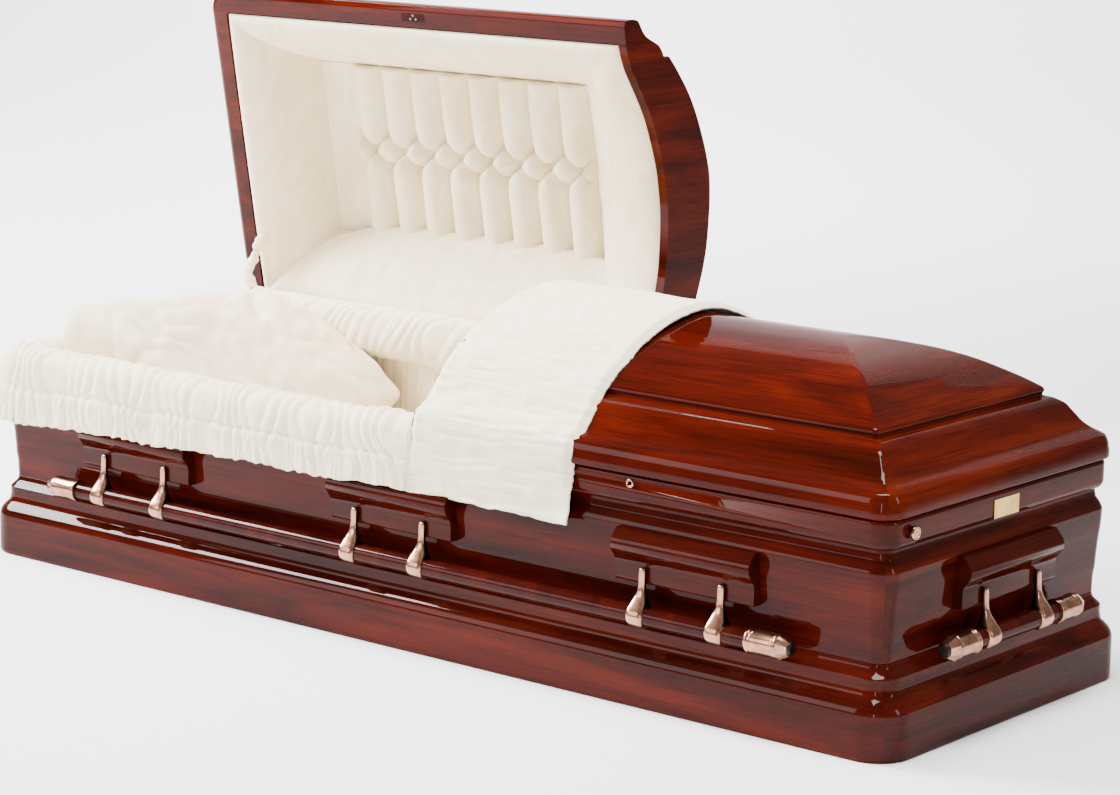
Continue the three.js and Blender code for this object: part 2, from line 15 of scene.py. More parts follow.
import bmesh
import bpy
import numpy as np
from mathutils import Matrix, Vector

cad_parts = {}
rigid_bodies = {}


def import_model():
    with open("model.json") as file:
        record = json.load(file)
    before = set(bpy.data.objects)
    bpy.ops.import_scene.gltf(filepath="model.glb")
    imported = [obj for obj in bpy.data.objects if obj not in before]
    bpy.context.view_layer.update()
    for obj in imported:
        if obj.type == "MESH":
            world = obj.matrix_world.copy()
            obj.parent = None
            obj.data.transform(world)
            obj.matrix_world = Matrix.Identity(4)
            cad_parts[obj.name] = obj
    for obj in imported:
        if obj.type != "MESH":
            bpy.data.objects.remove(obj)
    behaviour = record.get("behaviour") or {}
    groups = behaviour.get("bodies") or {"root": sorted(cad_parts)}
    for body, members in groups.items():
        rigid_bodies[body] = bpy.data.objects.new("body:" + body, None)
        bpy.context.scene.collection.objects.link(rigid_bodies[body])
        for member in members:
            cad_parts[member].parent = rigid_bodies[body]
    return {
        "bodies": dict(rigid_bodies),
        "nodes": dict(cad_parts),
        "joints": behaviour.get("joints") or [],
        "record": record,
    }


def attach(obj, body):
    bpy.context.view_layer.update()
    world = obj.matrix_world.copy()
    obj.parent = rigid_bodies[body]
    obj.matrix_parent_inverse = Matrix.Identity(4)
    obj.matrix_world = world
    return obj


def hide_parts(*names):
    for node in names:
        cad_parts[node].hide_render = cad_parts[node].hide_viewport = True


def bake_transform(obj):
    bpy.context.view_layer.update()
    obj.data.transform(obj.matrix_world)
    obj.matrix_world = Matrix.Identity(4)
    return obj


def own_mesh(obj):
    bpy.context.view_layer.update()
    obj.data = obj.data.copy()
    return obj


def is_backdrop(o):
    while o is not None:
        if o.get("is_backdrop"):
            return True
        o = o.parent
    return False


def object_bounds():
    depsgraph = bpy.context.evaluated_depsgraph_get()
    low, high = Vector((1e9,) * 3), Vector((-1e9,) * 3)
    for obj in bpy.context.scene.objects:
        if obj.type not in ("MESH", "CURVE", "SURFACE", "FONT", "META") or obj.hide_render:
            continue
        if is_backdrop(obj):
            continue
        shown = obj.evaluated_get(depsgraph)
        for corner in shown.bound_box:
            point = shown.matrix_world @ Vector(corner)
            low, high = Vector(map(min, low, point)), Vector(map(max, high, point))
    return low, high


MM = 0.001
LOG = logging.getLogger("casket")
Points = np.ndarray


class Finish(Enum):
    """The finishes a piece can take."""

    SIDE_WOOD = "lacquered_mahogany_grain_along_length"
    END_WOOD = "lacquered_mahogany_grain_across"
    BLOCK_WOOD = "dark_lacquered_mahogany"
    BAR_WOOD = "turned_and_lacquered_mahogany"
    COPPER = "antique_copper_plate_relieved_by_hand"
    PAINTED_DARK_FLANK = "antique_copper_left_dark"
    BRASS = "brushed_brass_sheet"
    STEEL = "satin_nickelled_steel"
    VELVET = "crushed_ivory_velvet"
    PANEL_CLOTH = "tufted_ivory_velvet"
    PILLOW_PAINTED_SHADE = "pillow_velvet_with_the_pile_laid_down"
    # dark metal: painted shade in the key's well, and the caps' dark buttons
    SHADOW = "blackened_steel_bore"


# Shader building

def linear(hex_colour: str) -> tuple[float, float, float, float]:
    """Turns an sRGB hex colour into linear RGBA.

    Args:
        hex_colour: six hex digits, with or without a leading hash.

    Returns:
        Linear red, green, blue and an alpha of 1.
    """
    digits = hex_colour.lstrip("#")
    channels = [int(digits[i:i + 2], 16) / 255 for i in (0, 2, 4)]
    r, g, b = (c / 12.92 if c <= 0.04045 else ((c + 0.055) / 1.055) ** 2.4 for c in channels)
    return (r, g, b, 1.0)


def add_node(tree: bpy.types.NodeTree, kind: str, settings: dict | None = None,
             **links: bpy.types.NodeSocket) -> bpy.types.Node:
    """Adds one shader node with its settings and what feeds it.

    Args:
        tree: the material's node tree.
        kind: the node's type, without the ShaderNode prefix.
        settings: values of its sockets and attributes, by name.
        links: the output that feeds each input. The input is given by its name, with underscores for
            spaces, or by in and its number.

    Returns:
        The new node.
    """
    node = tree.nodes.new(f"ShaderNode{kind}")
    for key, value in (settings or {}).items():
        if key in node.inputs:
            node.inputs[key].default_value = value
        else:
            setattr(node, key, value)
    for key, source in links.items():
        socket = int(key[2:]) if key[2:].isdigit() else key.replace("_", " ")
        tree.links.new(source, node.inputs[socket])
    return node


def ramp(tree: bpy.types.NodeTree, source: bpy.types.NodeSocket,
         *stops: tuple[float, str]) -> bpy.types.NodeSocket:
    """Adds a colour ramp.

    Args:
        tree: the material's node tree.
        source: the output that drives it.
        stops: position and sRGB hex of each colour.

    Returns:
        Its colour output.
    """
    node = add_node(tree, "ValToRGB", None, Fac=source)
    band = node.color_ramp
    while len(band.elements) < len(stops):
        band.elements.new(0.5)
    for element, (position, colour) in zip(band.elements, stops):
        element.position = position
        element.color = linear(colour)
    return node.outputs["Color"]


def streaks(tree: bpy.types.NodeTree, place: bpy.types.NodeSocket, cells: Sequence[float],
            **settings: float) -> bpy.types.NodeSocket:
    """Adds noise that can be drawn out along an axis.

    Args:
        tree: the material's node tree.
        place: the coordinates under it.
        cells: cells of the noise per metre along X, Y and Z.
        settings: the noise's other values.

    Returns:
        Its value output.
    """
    drawn = add_node(tree, "Mapping", {"Scale": cells}, Vector=place)
    return add_node(tree, "TexNoise", {"Scale": 1.0, **settings}, Vector=drawn.outputs[0]).outputs[0]


class Coating:
    """What all finishes share: a material round the surface node that shade gives."""

    def build(self, name: str) -> bpy.types.Material:
        """Makes the material.

        Args:
            name: its name.

        Returns:
            The material.
        """
        made = bpy.data.materials.new(name)
        made.use_nodes = True
        tree = made.node_tree
        tree.nodes.clear()
        surface = self.shade(tree, add_node(tree, "TexCoord").outputs["Object"])
        add_node(tree, "OutputMaterial", None, Surface=surface.outputs[0])
        return made

    def shade(self, tree: bpy.types.NodeTree, place: bpy.types.NodeSocket) -> bpy.types.Node:
        """Adds the nodes of the look over place, the object coordinates, and returns the last."""
        raise NotImplementedError


@dataclass(frozen=True)
class Wood(Coating):
    """Stained mahogany under a thick polished lacquer.

    Args:
        dark: the stain where the grain takes it most.
        mid: the stain on plain wood.
        light: the stain where the wood stays open and orange.
        along: the axis of the grain, 0 for X, 1 for Y.
        gloss: roughness of the lacquer.
    """

    dark: str
    mid: str
    light: str
    along: int = 0
    gloss: float = 0.035

    def shade(self, tree: bpy.types.NodeTree, place: bpy.types.NodeSocket) -> bpy.types.Node:
        """Adds the grain and the lacquer.

        Args:
            tree: the material's node tree.
            place: the object coordinates.

        Returns:
            The surface node.
        """
        # broad streaks 60 mm high and half a metre long
        broad = [7.0, 7.0, 17.0]
        broad[self.along] = 1.8
        clouds = streaks(tree, place, broad, Detail=5.0, Roughness=0.62, Distortion=0.6)
        # fine pores 3 mm wide and 140 mm long
        thin = [260.0, 260.0, 420.0]
        thin[self.along] = 7.0
        pores = streaks(tree, place, thin, Detail=3.0, Roughness=0.6)
        colour = add_node(tree, "Mix", {"data_type": "RGBA", "blend_type": "MULTIPLY", "Factor": 0.75},
                          in6=ramp(tree, clouds, (0.34, self.dark), (0.5, self.mid), (0.68, self.light)),
                          in7=ramp(tree, pores, (0.34, "#b4a8a8"), (0.5, "#ffffff")))
        # the lacquer lies flat over the pores, so the base is dull and the coat is a mirror
        return add_node(tree, "BsdfPrincipled", {
            "Roughness": 0.4, "IOR": 1.5, "Specular IOR Level": 0.0, "Coat Weight": 0.36,
            "Coat Roughness": self.gloss, "Coat IOR": 1.38,
        }, Base_Color=colour.outputs[2])


@dataclass(frozen=True)
class Metal(Coating):
    """Plated or plain metal, darker where polishing missed it.

    Args:
        bright: the polished colour.
        dull: the patina's colour.
        roughness: lowest and highest roughness.
        brushed: fine lines per metre along Y.
    """

    bright: str
    dull: str
    roughness: tuple[float, float]
    brushed: float = 40.0

    def shade(self, tree: bpy.types.NodeTree, place: bpy.types.NodeSocket) -> bpy.types.Node:
        """Adds the patina and the brushing.

        Args:
            tree: the material's node tree.
            place: the object coordinates.

        Returns:
            The surface node.
        """
        # slow changes of patina some 20 mm across
        patina = streaks(tree, place, [45.0] * 3, Detail=2.0, Roughness=0.5)
        lines = streaks(tree, place, [40.0, self.brushed, 40.0], Detail=2.0)
        rough = add_node(tree, "MapRange", {"To Min": self.roughness[0], "To Max": self.roughness[1]},
                         Value=lines)
        return add_node(tree, "BsdfPrincipled", {"Metallic": 1.0}, Roughness=rough.outputs[0],
                        Base_Color=ramp(tree, patina, (0.3, self.dull), (0.7, self.bright)))


@dataclass(frozen=True)
class Cloth(Coating):
    """Short-pile velvet, its pile pushed about by crushing.

    Args:
        lit: the colour where the pile leans to the light.
        shaded: the colour where it leans away.
        crush: crushed patches per metre.
        amount: how strongly the crushing shows, 0 to 1.
    """

    lit: str
    shaded: str
    crush: float = 28.0
    amount: float = 0.6

    def shade(self, tree: bpy.types.NodeTree, place: bpy.types.NodeSocket) -> bpy.types.Node:
        """Adds the crushed patches and the pile.

        Args:
            tree: the material's node tree.
            place: the object coordinates.

        Returns:
            The surface node.
        """
        # patches drawn out in height, which give the velvet its cloudy light and shade
        patches = streaks(tree, place, [self.crush, self.crush, 0.6 * self.crush], Detail=3.0, Roughness=0.55,
                          Distortion=1.4)
        # the pile's own grain, about 1 mm
        pile = streaks(tree, place, [900.0] * 3, Detail=2.0)
        bump = add_node(tree, "Bump", {"Strength": 0.12, "Distance": 0.0006}, Height=pile)
        spread = 0.5 - 0.22 * self.amount
        colour = ramp(tree, patches, (spread, self.shaded), (1.0 - spread, self.lit))
        return add_node(tree, "BsdfPrincipled", {
            "Roughness": 0.85, "Specular IOR Level": 0.15, "Sheen Weight": 0.15, "Sheen Roughness": 0.4,
        }, Base_Color=colour, Normal=bump.outputs[0])


FINISHES: dict[Finish, Coating] = {
    Finish.SIDE_WOOD: Wood("#270601", "#3a0903", "#4f1204"),
    Finish.END_WOOD: Wood("#280602", "#3b0b03", "#501504", along=1),
    Finish.BLOCK_WOOD: Wood("#280602", "#330903", "#421004"),
    Finish.BAR_WOOD: Wood("#240604", "#300905", "#3e0e06", gloss=0.05),
    Finish.COPPER: Metal("#c4937a", "#8d604a", (0.14, 0.28), brushed=900.0),
    # a darker copper painted on the arms' flanks for their shade and dark reflections
    Finish.PAINTED_DARK_FLANK: Metal("#57443a", "#2f2420", (0.2, 0.34)),
    Finish.BRASS: Metal("#d2b063", "#b89348", (0.22, 0.4), brushed=1200.0),
    Finish.STEEL: Metal("#77706a", "#6a635d", (0.3, 0.42)),
    Finish.VELVET: Cloth("#fbefd6", "#f1e3c5"),
    Finish.PANEL_CLOTH: Cloth("#fbefd4", "#f3e4c4", crush=14.0, amount=0.4),
    # a beiger copy of the velvet, painted shade on the pillow
    Finish.PILLOW_PAINTED_SHADE: Cloth("#f5e4ca", "#ecd8b9", crush=18.0, amount=0.5),
    Finish.SHADOW: Metal("#3a3431", "#2a2523", (0.4, 0.5)),
}
# the material of each finish, once it has been made
_made: dict[Finish, bpy.types.Material] = {}


def material(finish: Finish) -> bpy.types.Material:
    """The one material of a finish, made on first use.

    Args:
        finish: the finish.

    Returns:
        Its material.
    """
    if finish not in _made:
        _made[finish] = FINISHES[finish].build(finish.value)
    return _made[finish]


# Curves and surfaces

def catmull(knots: Points, step: float) -> Points:
    """A centripetal curve through knots.

    Args:
        knots: at least two points, one a row.
        step: the widest spacing of the samples.

    Returns:
        The sampled curve, from the first knot to the last.
    """
    if len(knots) < 3:
        return knots
    ends = np.vstack([2 * knots[0] - knots[1], knots, 2 * knots[-1] - knots[-2]])
    out = [knots[:1]]
    for i in range(1, len(ends) - 2):
        p = ends[i - 1:i + 3]
        t = np.concatenate([[0.0], np.cumsum(np.linalg.norm(np.diff(p, axis=0), axis=1) ** 0.5 + 1e-9)])
        count = max(1, math.ceil(np.linalg.norm(p[2] - p[1]) / step))
        s = np.linspace(t[1], t[2], count + 1)[1:, None]
        level = [((t[k + 1] - s) * p[k] + (s - t[k]) * p[k + 1]) / (t[k + 1] - t[k]) for k in range(3)]
        mid = [((t[k + 2] - s) * level[k] + (s - t[k]) * level[k + 1]) / (t[k + 2] - t[k]) for k in range(2)]
        out.append(((t[2] - s) * mid[0] + (s - t[1]) * mid[1]) / (t[2] - t[1]))
    return np.vstack(out)


def run_of(line: Points) -> Points:
    """Distance along the line at each of its points, from 0."""
    return np.concatenate([[0.0], np.cumsum(np.linalg.norm(np.diff(line, axis=0), axis=1))])


def trim(line: Points, length: float) -> Points:
    """Takes a stretch off the end of a line.

    Args:
        line: its points.
        length: the stretch, which is held under half of the line.

    Returns:
        The rest of the line.
    """
    run = run_of(line)
    length = min(length, 0.45 * run[-1])
    keep = run < run[-1] - length
    stop = [np.interp(run[-1] - length, run, line[:, k]) for k in range(line.shape[1])]
    return np.vstack([line[keep], stop])


def moulding(knots: Sequence[tuple[float, ...]], step: float = 4.0) -> Points:
    """A moulding's section as a fine line.

    Args:
        knots: (inset, z) where the line runs smoothly, (inset, z, radius) at a corner.
        step: spacing of the samples on curved stretches.

    Returns:
        The sampled line, an n by 2 array.
    """

    runs: list[list[tuple[float, ...]]] = [[]]
    radii: list[float] = []
    for i, knot in enumerate(knots):
        runs[-1].append(knot[:2])
        if len(knot) > 2 and 0 < i < len(knots) - 1:
            radii.append(knot[2])
            runs.append([knot[:2]])
    lines = [catmull(np.array(run, float), step) for run in runs]
    line = lines[0]
    for radius, following in zip(radii, lines[1:]):
        corner = following[0]
        line = trim(line, radius)
        following = trim(following[::-1], radius)[::-1]
        s = np.linspace(0, 1, 5)[1:-1, None]
        arc = (1 - s) ** 2 * line[-1] + 2 * s * (1 - s) * corner + s ** 2 * following[0]
        line = np.vstack([line, arc, following])
    return line


def resample(line: Points, count: int) -> Points:
    """Spaces the points of a line evenly.

    Args:
        line: its points.
        count: how many points it gets.

    Returns:
        The new points.
    """
    run = run_of(line)
    at_run = np.linspace(0, run[-1], count)
    return np.stack([np.interp(at_run, run, line[:, k]) for k in range(line.shape[1])], axis=1)


def smooth_line(knots: Sequence[Sequence[float]], step: float, count: int, closed: bool = False) -> Points:
    """A curve through knots with evenly spaced points.

    Args:
        knots: its knots.
        step: how finely the curve is followed.
        count: points on it. A closed line counts its first point twice and keeps it once.
        closed: whether it returns to its first knot.

    Returns:
        The points.
    """
    loop = np.array([*knots, knots[0]] if closed else knots, float)
    line = resample(catmull(loop, step), count)
    return line[:-1] if closed else line


def normals(line: Points, closed: bool = False) -> Points:
    """Unit normals of a section.

    Args:
        line: its (inset, z) points.
        closed: whether the last point meets the first.

    Returns:
        A normal a point, to the left of the line's course.
    """
    tangent = np.roll(line, -1, 0) - np.roll(line, 1, 0) if closed else np.gradient(line, axis=0)
    normal = np.column_stack([-tangent[:, 1], tangent[:, 0]])
    return normal / np.linalg.norm(normal, axis=1)[:, None]


def lifted(line: Points, normal: Points, lift: Points) -> tuple[Points, Points]:
    """Insets and heights of a section's points after lift along their normals, by column."""
    return line[:, :1] + normal[:, :1] * lift, line[:, 1:] + normal[:, 1:] * lift


def circle(steps: int) -> Points:
    """The angles of evenly spaced points round a circle."""
    return np.linspace(0, 2 * math.pi, steps, endpoint=False)


def turned(section: Sequence[Sequence[float]], steps: int, sides: Points | float = 1.0) -> Points:
    """Turns a section about Z.

    Args:
        section: radius and height of its points.
        steps: points round the circle.
        sides: what the radius is multiplied by at each of them.

    Returns:
        A grid of section points by steps by 3.
    """
    turn = circle(steps)
    return np.stack([np.column_stack([r * sides * np.cos(turn), r * sides * np.sin(turn), np.full(steps, h)])
                     for r, h in section])


def standing(x: float, line: Points) -> Points:
    """The (y, z) points of a cross section, set at x."""
    return np.column_stack([np.full(len(line), x), line])


def noise(x: Points, y: Points | float, seed: int) -> Points:
    """Smooth value noise.

    Args:
        x: first coordinate, in cells.
        y: second coordinate, in cells.
        seed: picks the pattern.

    Returns:
        Values from -1 to 1.
    """
    table = np.random.default_rng(seed).uniform(-1, 1, (256, 256))
    x0, y0 = np.floor(x).astype(int), np.floor(y).astype(int)
    fx, fy = x - x0, y - y0
    fx, fy = fx * fx * (3 - 2 * fx), fy * fy * (3 - 2 * fy)
    x0, x1, y0, y1 = x0 % 256, (x0 + 1) % 256, y0 % 256, (y0 + 1) % 256
    low = table[x0, y0] * (1 - fx) + table[x1, y0] * fx
    high = table[x0, y1] * (1 - fx) + table[x1, y1] * fx
    return low * (1 - fy) + high * fy


def folds(u: Points, v: Points, pitch: float, seed: int, wander: float, along: float) -> Points:
    """Gathers in cloth: rounded ridges with tight valleys.

    Args:
        u: distance across the folds.
        v: distance along them.
        pitch: mean spacing of the folds.
        seed: picks the pattern.
        wander: how far each fold strays, in pitches.
        along: length over which a fold keeps its course.

    Returns:
        Heights from 0 to 1.
    """
    phase = u / pitch + wander * noise(u / (2.3 * pitch), v / along, seed)
    height = np.abs(np.sin(np.pi * phase)) ** 0.7
    return height * (0.65 + 0.35 * noise(u / (1.7 * pitch) + 9, v / along + 5, seed + 1))


def smoothstep(low: float, high: float, x: Points) -> Points:
    """0 below low, 1 above high, smooth between."""
    t = np.clip((np.asarray(x, float) - low) / (high - low), 0, 1)
    return t * t * (3 - 2 * t)


def at(x: float, y: float, z: float, degrees: float = 0.0, axis: str = "Z") -> Matrix:
    """A place and a turn as one matrix.

    Args:
        x: place along X, in millimetres, as y and z are along theirs.
        y: place along Y.
        z: place along Z.
        degrees: the turn.
        axis: the axis of the turn.

    Returns:
        The matrix, in metres.
    """
    return Matrix.Translation((x * MM, y * MM, z * MM)) @ Matrix.Rotation(math.radians(degrees), 4, axis)


@dataclass
class Surface:
    """Gathers patches of points, in millimetres, into one object.

    Args:
        name: the object's name.
        finishes: its materials, by slot.
        sharp_deg: edges that turn by more than this stay sharp.
        verts: the points of each patch so far.
        faces: the faces so far.
        slots: the material slot of each face.
    """

    name: str
    finishes: Sequence[Finish]
    sharp_deg: float = 38.0
    verts: list[Points] = field(default_factory=list)
    faces: list[tuple[int, ...]] = field(default_factory=list)
    slots: list[int] = field(default_factory=list)
    def patch(self, grid: Points, wrap: tuple[bool, bool] = (False, False),
              slot: int | Callable[[int, int], int] = 0) -> Surface:
        """Adds a grid of points as quads.

        Args:
            grid: rows by columns by 3.
            wrap: whether the rows and the columns close on themselves.
            slot: the material slot, or a function of row and column that gives it.

        Returns:
            This surface.
        """
        rows, columns = grid.shape[:2]
        base = sum(len(v) for v in self.verts)
        self.verts.append(grid.reshape(-1, 3))
        for i in range(rows if wrap[0] else rows - 1):
            below = base + ((i + 1) % rows) * columns
            for j in range(columns if wrap[1] else columns - 1):
                k = (j + 1) % columns
                self.faces.append((base + i * columns + j, base + i * columns + k, below + k, below + j))
                self.slots.append(slot(i, j) if callable(slot) else slot)
        return self

    def hoop(self, grid: Points, slot: int | Callable[[int, int], int] = 0) -> Surface:
        """Adds a grid whose columns close on themselves."""
        return self.patch(grid, (False, True), slot)

    def seam(self, one: Points, other: Points, slot: int = 0) -> Surface:
        """Joins two lines of points by a row of quads."""
        return self.patch(np.stack([one, other]), slot=slot)

    def cap(self, *loops: Points) -> Surface:
        """Closes loops of points.

        Args:
            loops: the loops, each of which gets one face in the first slot.

        Returns:
            This surface.
        """
        for loop in loops:
            base = sum(len(v) for v in self.verts)
            self.verts.append(loop)
            self.faces.append(tuple(range(base, base + len(loop))))
            self.slots.append(0)
        return self

    def tube(self, grid: Points) -> Surface:
        """Adds a hoop and closes its first and last row."""
        return self.hoop(grid).cap(grid[0], grid[-1])

    def mesh(self) -> bpy.types.Mesh:
        """Welds the patches and turns their faces out.

        Returns:
            The mesh, smooth up to sharp_deg.
        """
        data = bpy.data.meshes.new(self.name)
        data.from_pydata((np.vstack(self.verts) * MM).tolist(), [], self.faces)
        data.polygons.foreach_set("material_index", self.slots)
        shape = bmesh.new()
        shape.from_mesh(data)
        bmesh.ops.remove_doubles(shape, verts=shape.verts, dist=2e-5)
        bmesh.ops.dissolve_degenerate(shape, edges=shape.edges, dist=1e-6)
        bmesh.ops.recalc_face_normals(shape, faces=shape.faces)
        shape.to_mesh(data)
        shape.free()
        data.shade_smooth()
        data.set_sharp_from_angle(angle=math.radians(self.sharp_deg))
        for finish in self.finishes:
            data.materials.append(material(finish))
        return data

    def build(self, body: str, *nodes: str, place: Matrix | None = None) -> bpy.types.Object:
        """Makes the object, with its place in the mesh itself.

        Args:
            body: the body it moves with, or an empty string for none.
            nodes: the CAD nodes it stands for.
            place: where it goes, in metres.

        Returns:
            The object.
        """
        data = self.mesh()
        if place is not None:
            data.transform(place)
        return piece(self.name, data, body, *nodes)


def piece(name: str, data: bpy.types.Mesh, body: str, *nodes: str,
          place: Matrix | None = None) -> bpy.types.Object:
    """Adds a mesh to the scene as one piece of the casket.

    Args:
        name: the piece's name.
        data: its mesh.
        body: the body it moves with, or an empty string for none.
        nodes: the CAD nodes it stands for.
        place: where it goes, in metres.

    Returns:
        The object.
    """
    thing = bpy.data.objects.new(name, data)
    bpy.context.scene.collection.objects.link(thing)
    if place is not None:
        thing.matrix_world = place
    if body:
        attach(thing, body)
    if nodes:
        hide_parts(*nodes)
    LOG.info("%s: %d faces", name, len(data.polygons))
    return thing


# The casket's plan and mouldings

@dataclass(frozen=True)
class Plan:
    """Rounded rectangle that every moulding follows at its own inset.

    Args:
        length: along X.
        width: along Y.
        corner: radius of its corners.
        mitre: the smallest radius that an inset leaves.
        steps: quads round a corner.
    """

    length: float = 2110.0
    width: float = 726.0
    corner: float = 63.0
    mitre: float = 9.0
    steps: int = 14

    def arc(self, inset: float, quarter: int) -> Points:
        """One corner's arc, anticlockwise from above.

        Args:
            inset: distance in from the outline.
            quarter: the corner, counted from the front foot one.

        Returns:
            Its points.
        """
        hx, hy = self.length / 2 - inset, self.width / 2 - inset
        radius = min(max(self.corner - inset, self.mitre), hy - 1)
        sx, sy = ((1, -1), (1, 1), (-1, 1), (-1, -1))[quarter]
        turn = np.radians(90 * (quarter - 1) + np.linspace(0, 90, self.steps + 1))
        return np.stack([sx * (hx - radius) + radius * np.cos(turn),
                         sy * (hy - radius) + radius * np.sin(turn)], axis=1)

    def ring(self, section: Points) -> Points:
        """A section of (inset, z) carried round the whole plan: its points by plan points by 3."""
        return np.stack([self.at_height(np.vstack([self.arc(d, q) for q in range(4)]), z)
                         for d, z in section])

    def run(self, section: Points, start: float, foot: bool) -> Points:
        """A section carried round one end of the plan only.

        Args:
            section: its (inset, z) points.
            start: x where the run starts and stops.
            foot: whether it goes round the foot end.

        Returns:
            Section points by plan points by 3.
        """
        side, corners = (1, (0, 1)) if foot else (-1, (2, 3))
        rows = []
        for d, z in section:
            y = side * (self.width / 2 - d)
            line = np.vstack([[[start, -y]], *(self.arc(d, q) for q in corners), [[start, y]]])
            rows.append(self.at_height(line, z))
        return np.stack(rows)

    @staticmethod
    def at_height(line: Points, z: float) -> Points:
        """A plan line lifted to z."""
        return np.column_stack([line, np.full(len(line), z)])

    def end_slot(self, first: int = 0) -> Callable[[int, int], int]:
        """Tells the end boards from the long sides, with the mitre in the middle of a corner.

        Args:
            first: columns before the first corner.

        Returns:
            A function of row and column that gives slot 1 on an end board and slot 0 elsewhere.
        """
        def pick(_row: int, column: int) -> int:
            """Tells the slot of a quad.

            Args:
                _row: its row, which doesn't matter.
                column: its column.

            Returns:
                The slot.
            """
            quarter, step = divmod(column - first, self.steps + 1)
            if not 0 <= quarter < 4:
                return 0
            return int((step >= self.steps // 2) == (quarter % 2 == 0))
        return pick


PLAN = Plan()
# Y of the front of the rail
FRONT_FACE = -PLAN.width / 2 + 26


@dataclass(frozen=True)
class Body:
    """Plinth, shell and top rail, each a closed section of (inset, z, radius) round the plan.

    Args:
        plinth: the base moulding.
        shell: the panelled sides.
        rail: the frame that the lids close on.
        key: x, z and radius of the key's well.
    """

    plinth: tuple = (
        (44, 0, 1), (3, 0, 2), (0, 5, 3), (0, 76, 3), (4, 86), (12, 95), (19, 102), (21.5, 110, 1.5),
        (22.5, 120), (22, 129, 1.5), (30, 136), (36, 143), (37.5, 150, 1), (44, 150, 1), (44, 0),
    )
    shell: tuple = (
        (44.3, 0, 1), (44.3, 150.3, 1), (37.5, 150.3, 1.5), (36.6, 179), (34.2, 196), (32.7, 219),
        (30.1, 248), (28.1, 262), (26.6, 283), (26, 297, 2), (31, 307), (38, 316, 1.5), (40, 327, 1),
        (40, 332.7, 1), (60, 332.7, 1), (60, 22),
    )
    rail: tuple = (
        (62, 333, 1), (33, 333, 1.5), (29, 337, 1.5), (26, 343, 2), (26, 376, 2), (28, 380, 1), (62, 380, 1),
        (62, 333),
    )
    key: tuple[float, float, float] = (521.0, 368.0, 3.6)

    def build(self) -> None:
        """Makes the three frames of the box."""
        woods = (Finish.SIDE_WOOD, Finish.END_WOOD)
        slot = PLAN.end_slot()
        plinth, shell = PLAN.ring(moulding(self.plinth)), PLAN.ring(moulding(self.shell))
        Surface("plinth_moulding", woods).hoop(plinth, slot).build("casket", "plinth")
        Surface("shell_panelling", woods).hoop(shell, slot).cap(shell[0], shell[-1]).build("casket", "shell")
        rail = PLAN.ring(moulding(self.rail, 3))
        self.bore_key_hole(Surface("top_rail", woods).hoop(rail, slot).build("casket", "rail"))

    def bore_key_hole(self, rail: bpy.types.Object) -> None:
        """Cuts the key's well into the front of the rail.

        Args:
            rail: the rail's object.
        """
        x, z, radius = self.key
        depth = 8
        # the well carries the dark SHADOW finish, painted shade down the hole
        well = lathe("key_well", [(0, -depth), (radius, -depth), (radius, depth), (0, depth)],
                     Finish.SHADOW, 24)
        tool = bpy.data.objects.new("key_well", well)
        bpy.context.scene.collection.objects.link(tool)
        tool.matrix_world = at(x, FRONT_FACE, z, 90, "X")
        change = rail.modifiers.new("cut", "BOOLEAN")
        change.object = tool
        change.solver = "EXACT"
        bpy.context.view_layer.update()
        evaluated = rail.evaluated_get(bpy.context.evaluated_depsgraph_get())
        fresh = bpy.data.meshes.new_from_object(evaluated)
        rail.modifiers.remove(change)
        rail.data = fresh
        bpy.data.objects.remove(tool)


def lathe(name: str, section: Sequence[tuple[float, ...]], finish: Finish, steps: int = 48,
          step: float = 2.0) -> bpy.types.Mesh:
    """Makes a turned mesh about Z.

    Args:
        name: its name.
        section: (radius, height) knots as moulding takes them.
        finish: its finish.
        steps: points round the circle.
        step: spacing of the samples on the section.

    Returns:
        The mesh.
    """
    return Surface(name, (finish,)).hoop(turned(moulding(section, step), steps)).mesh()


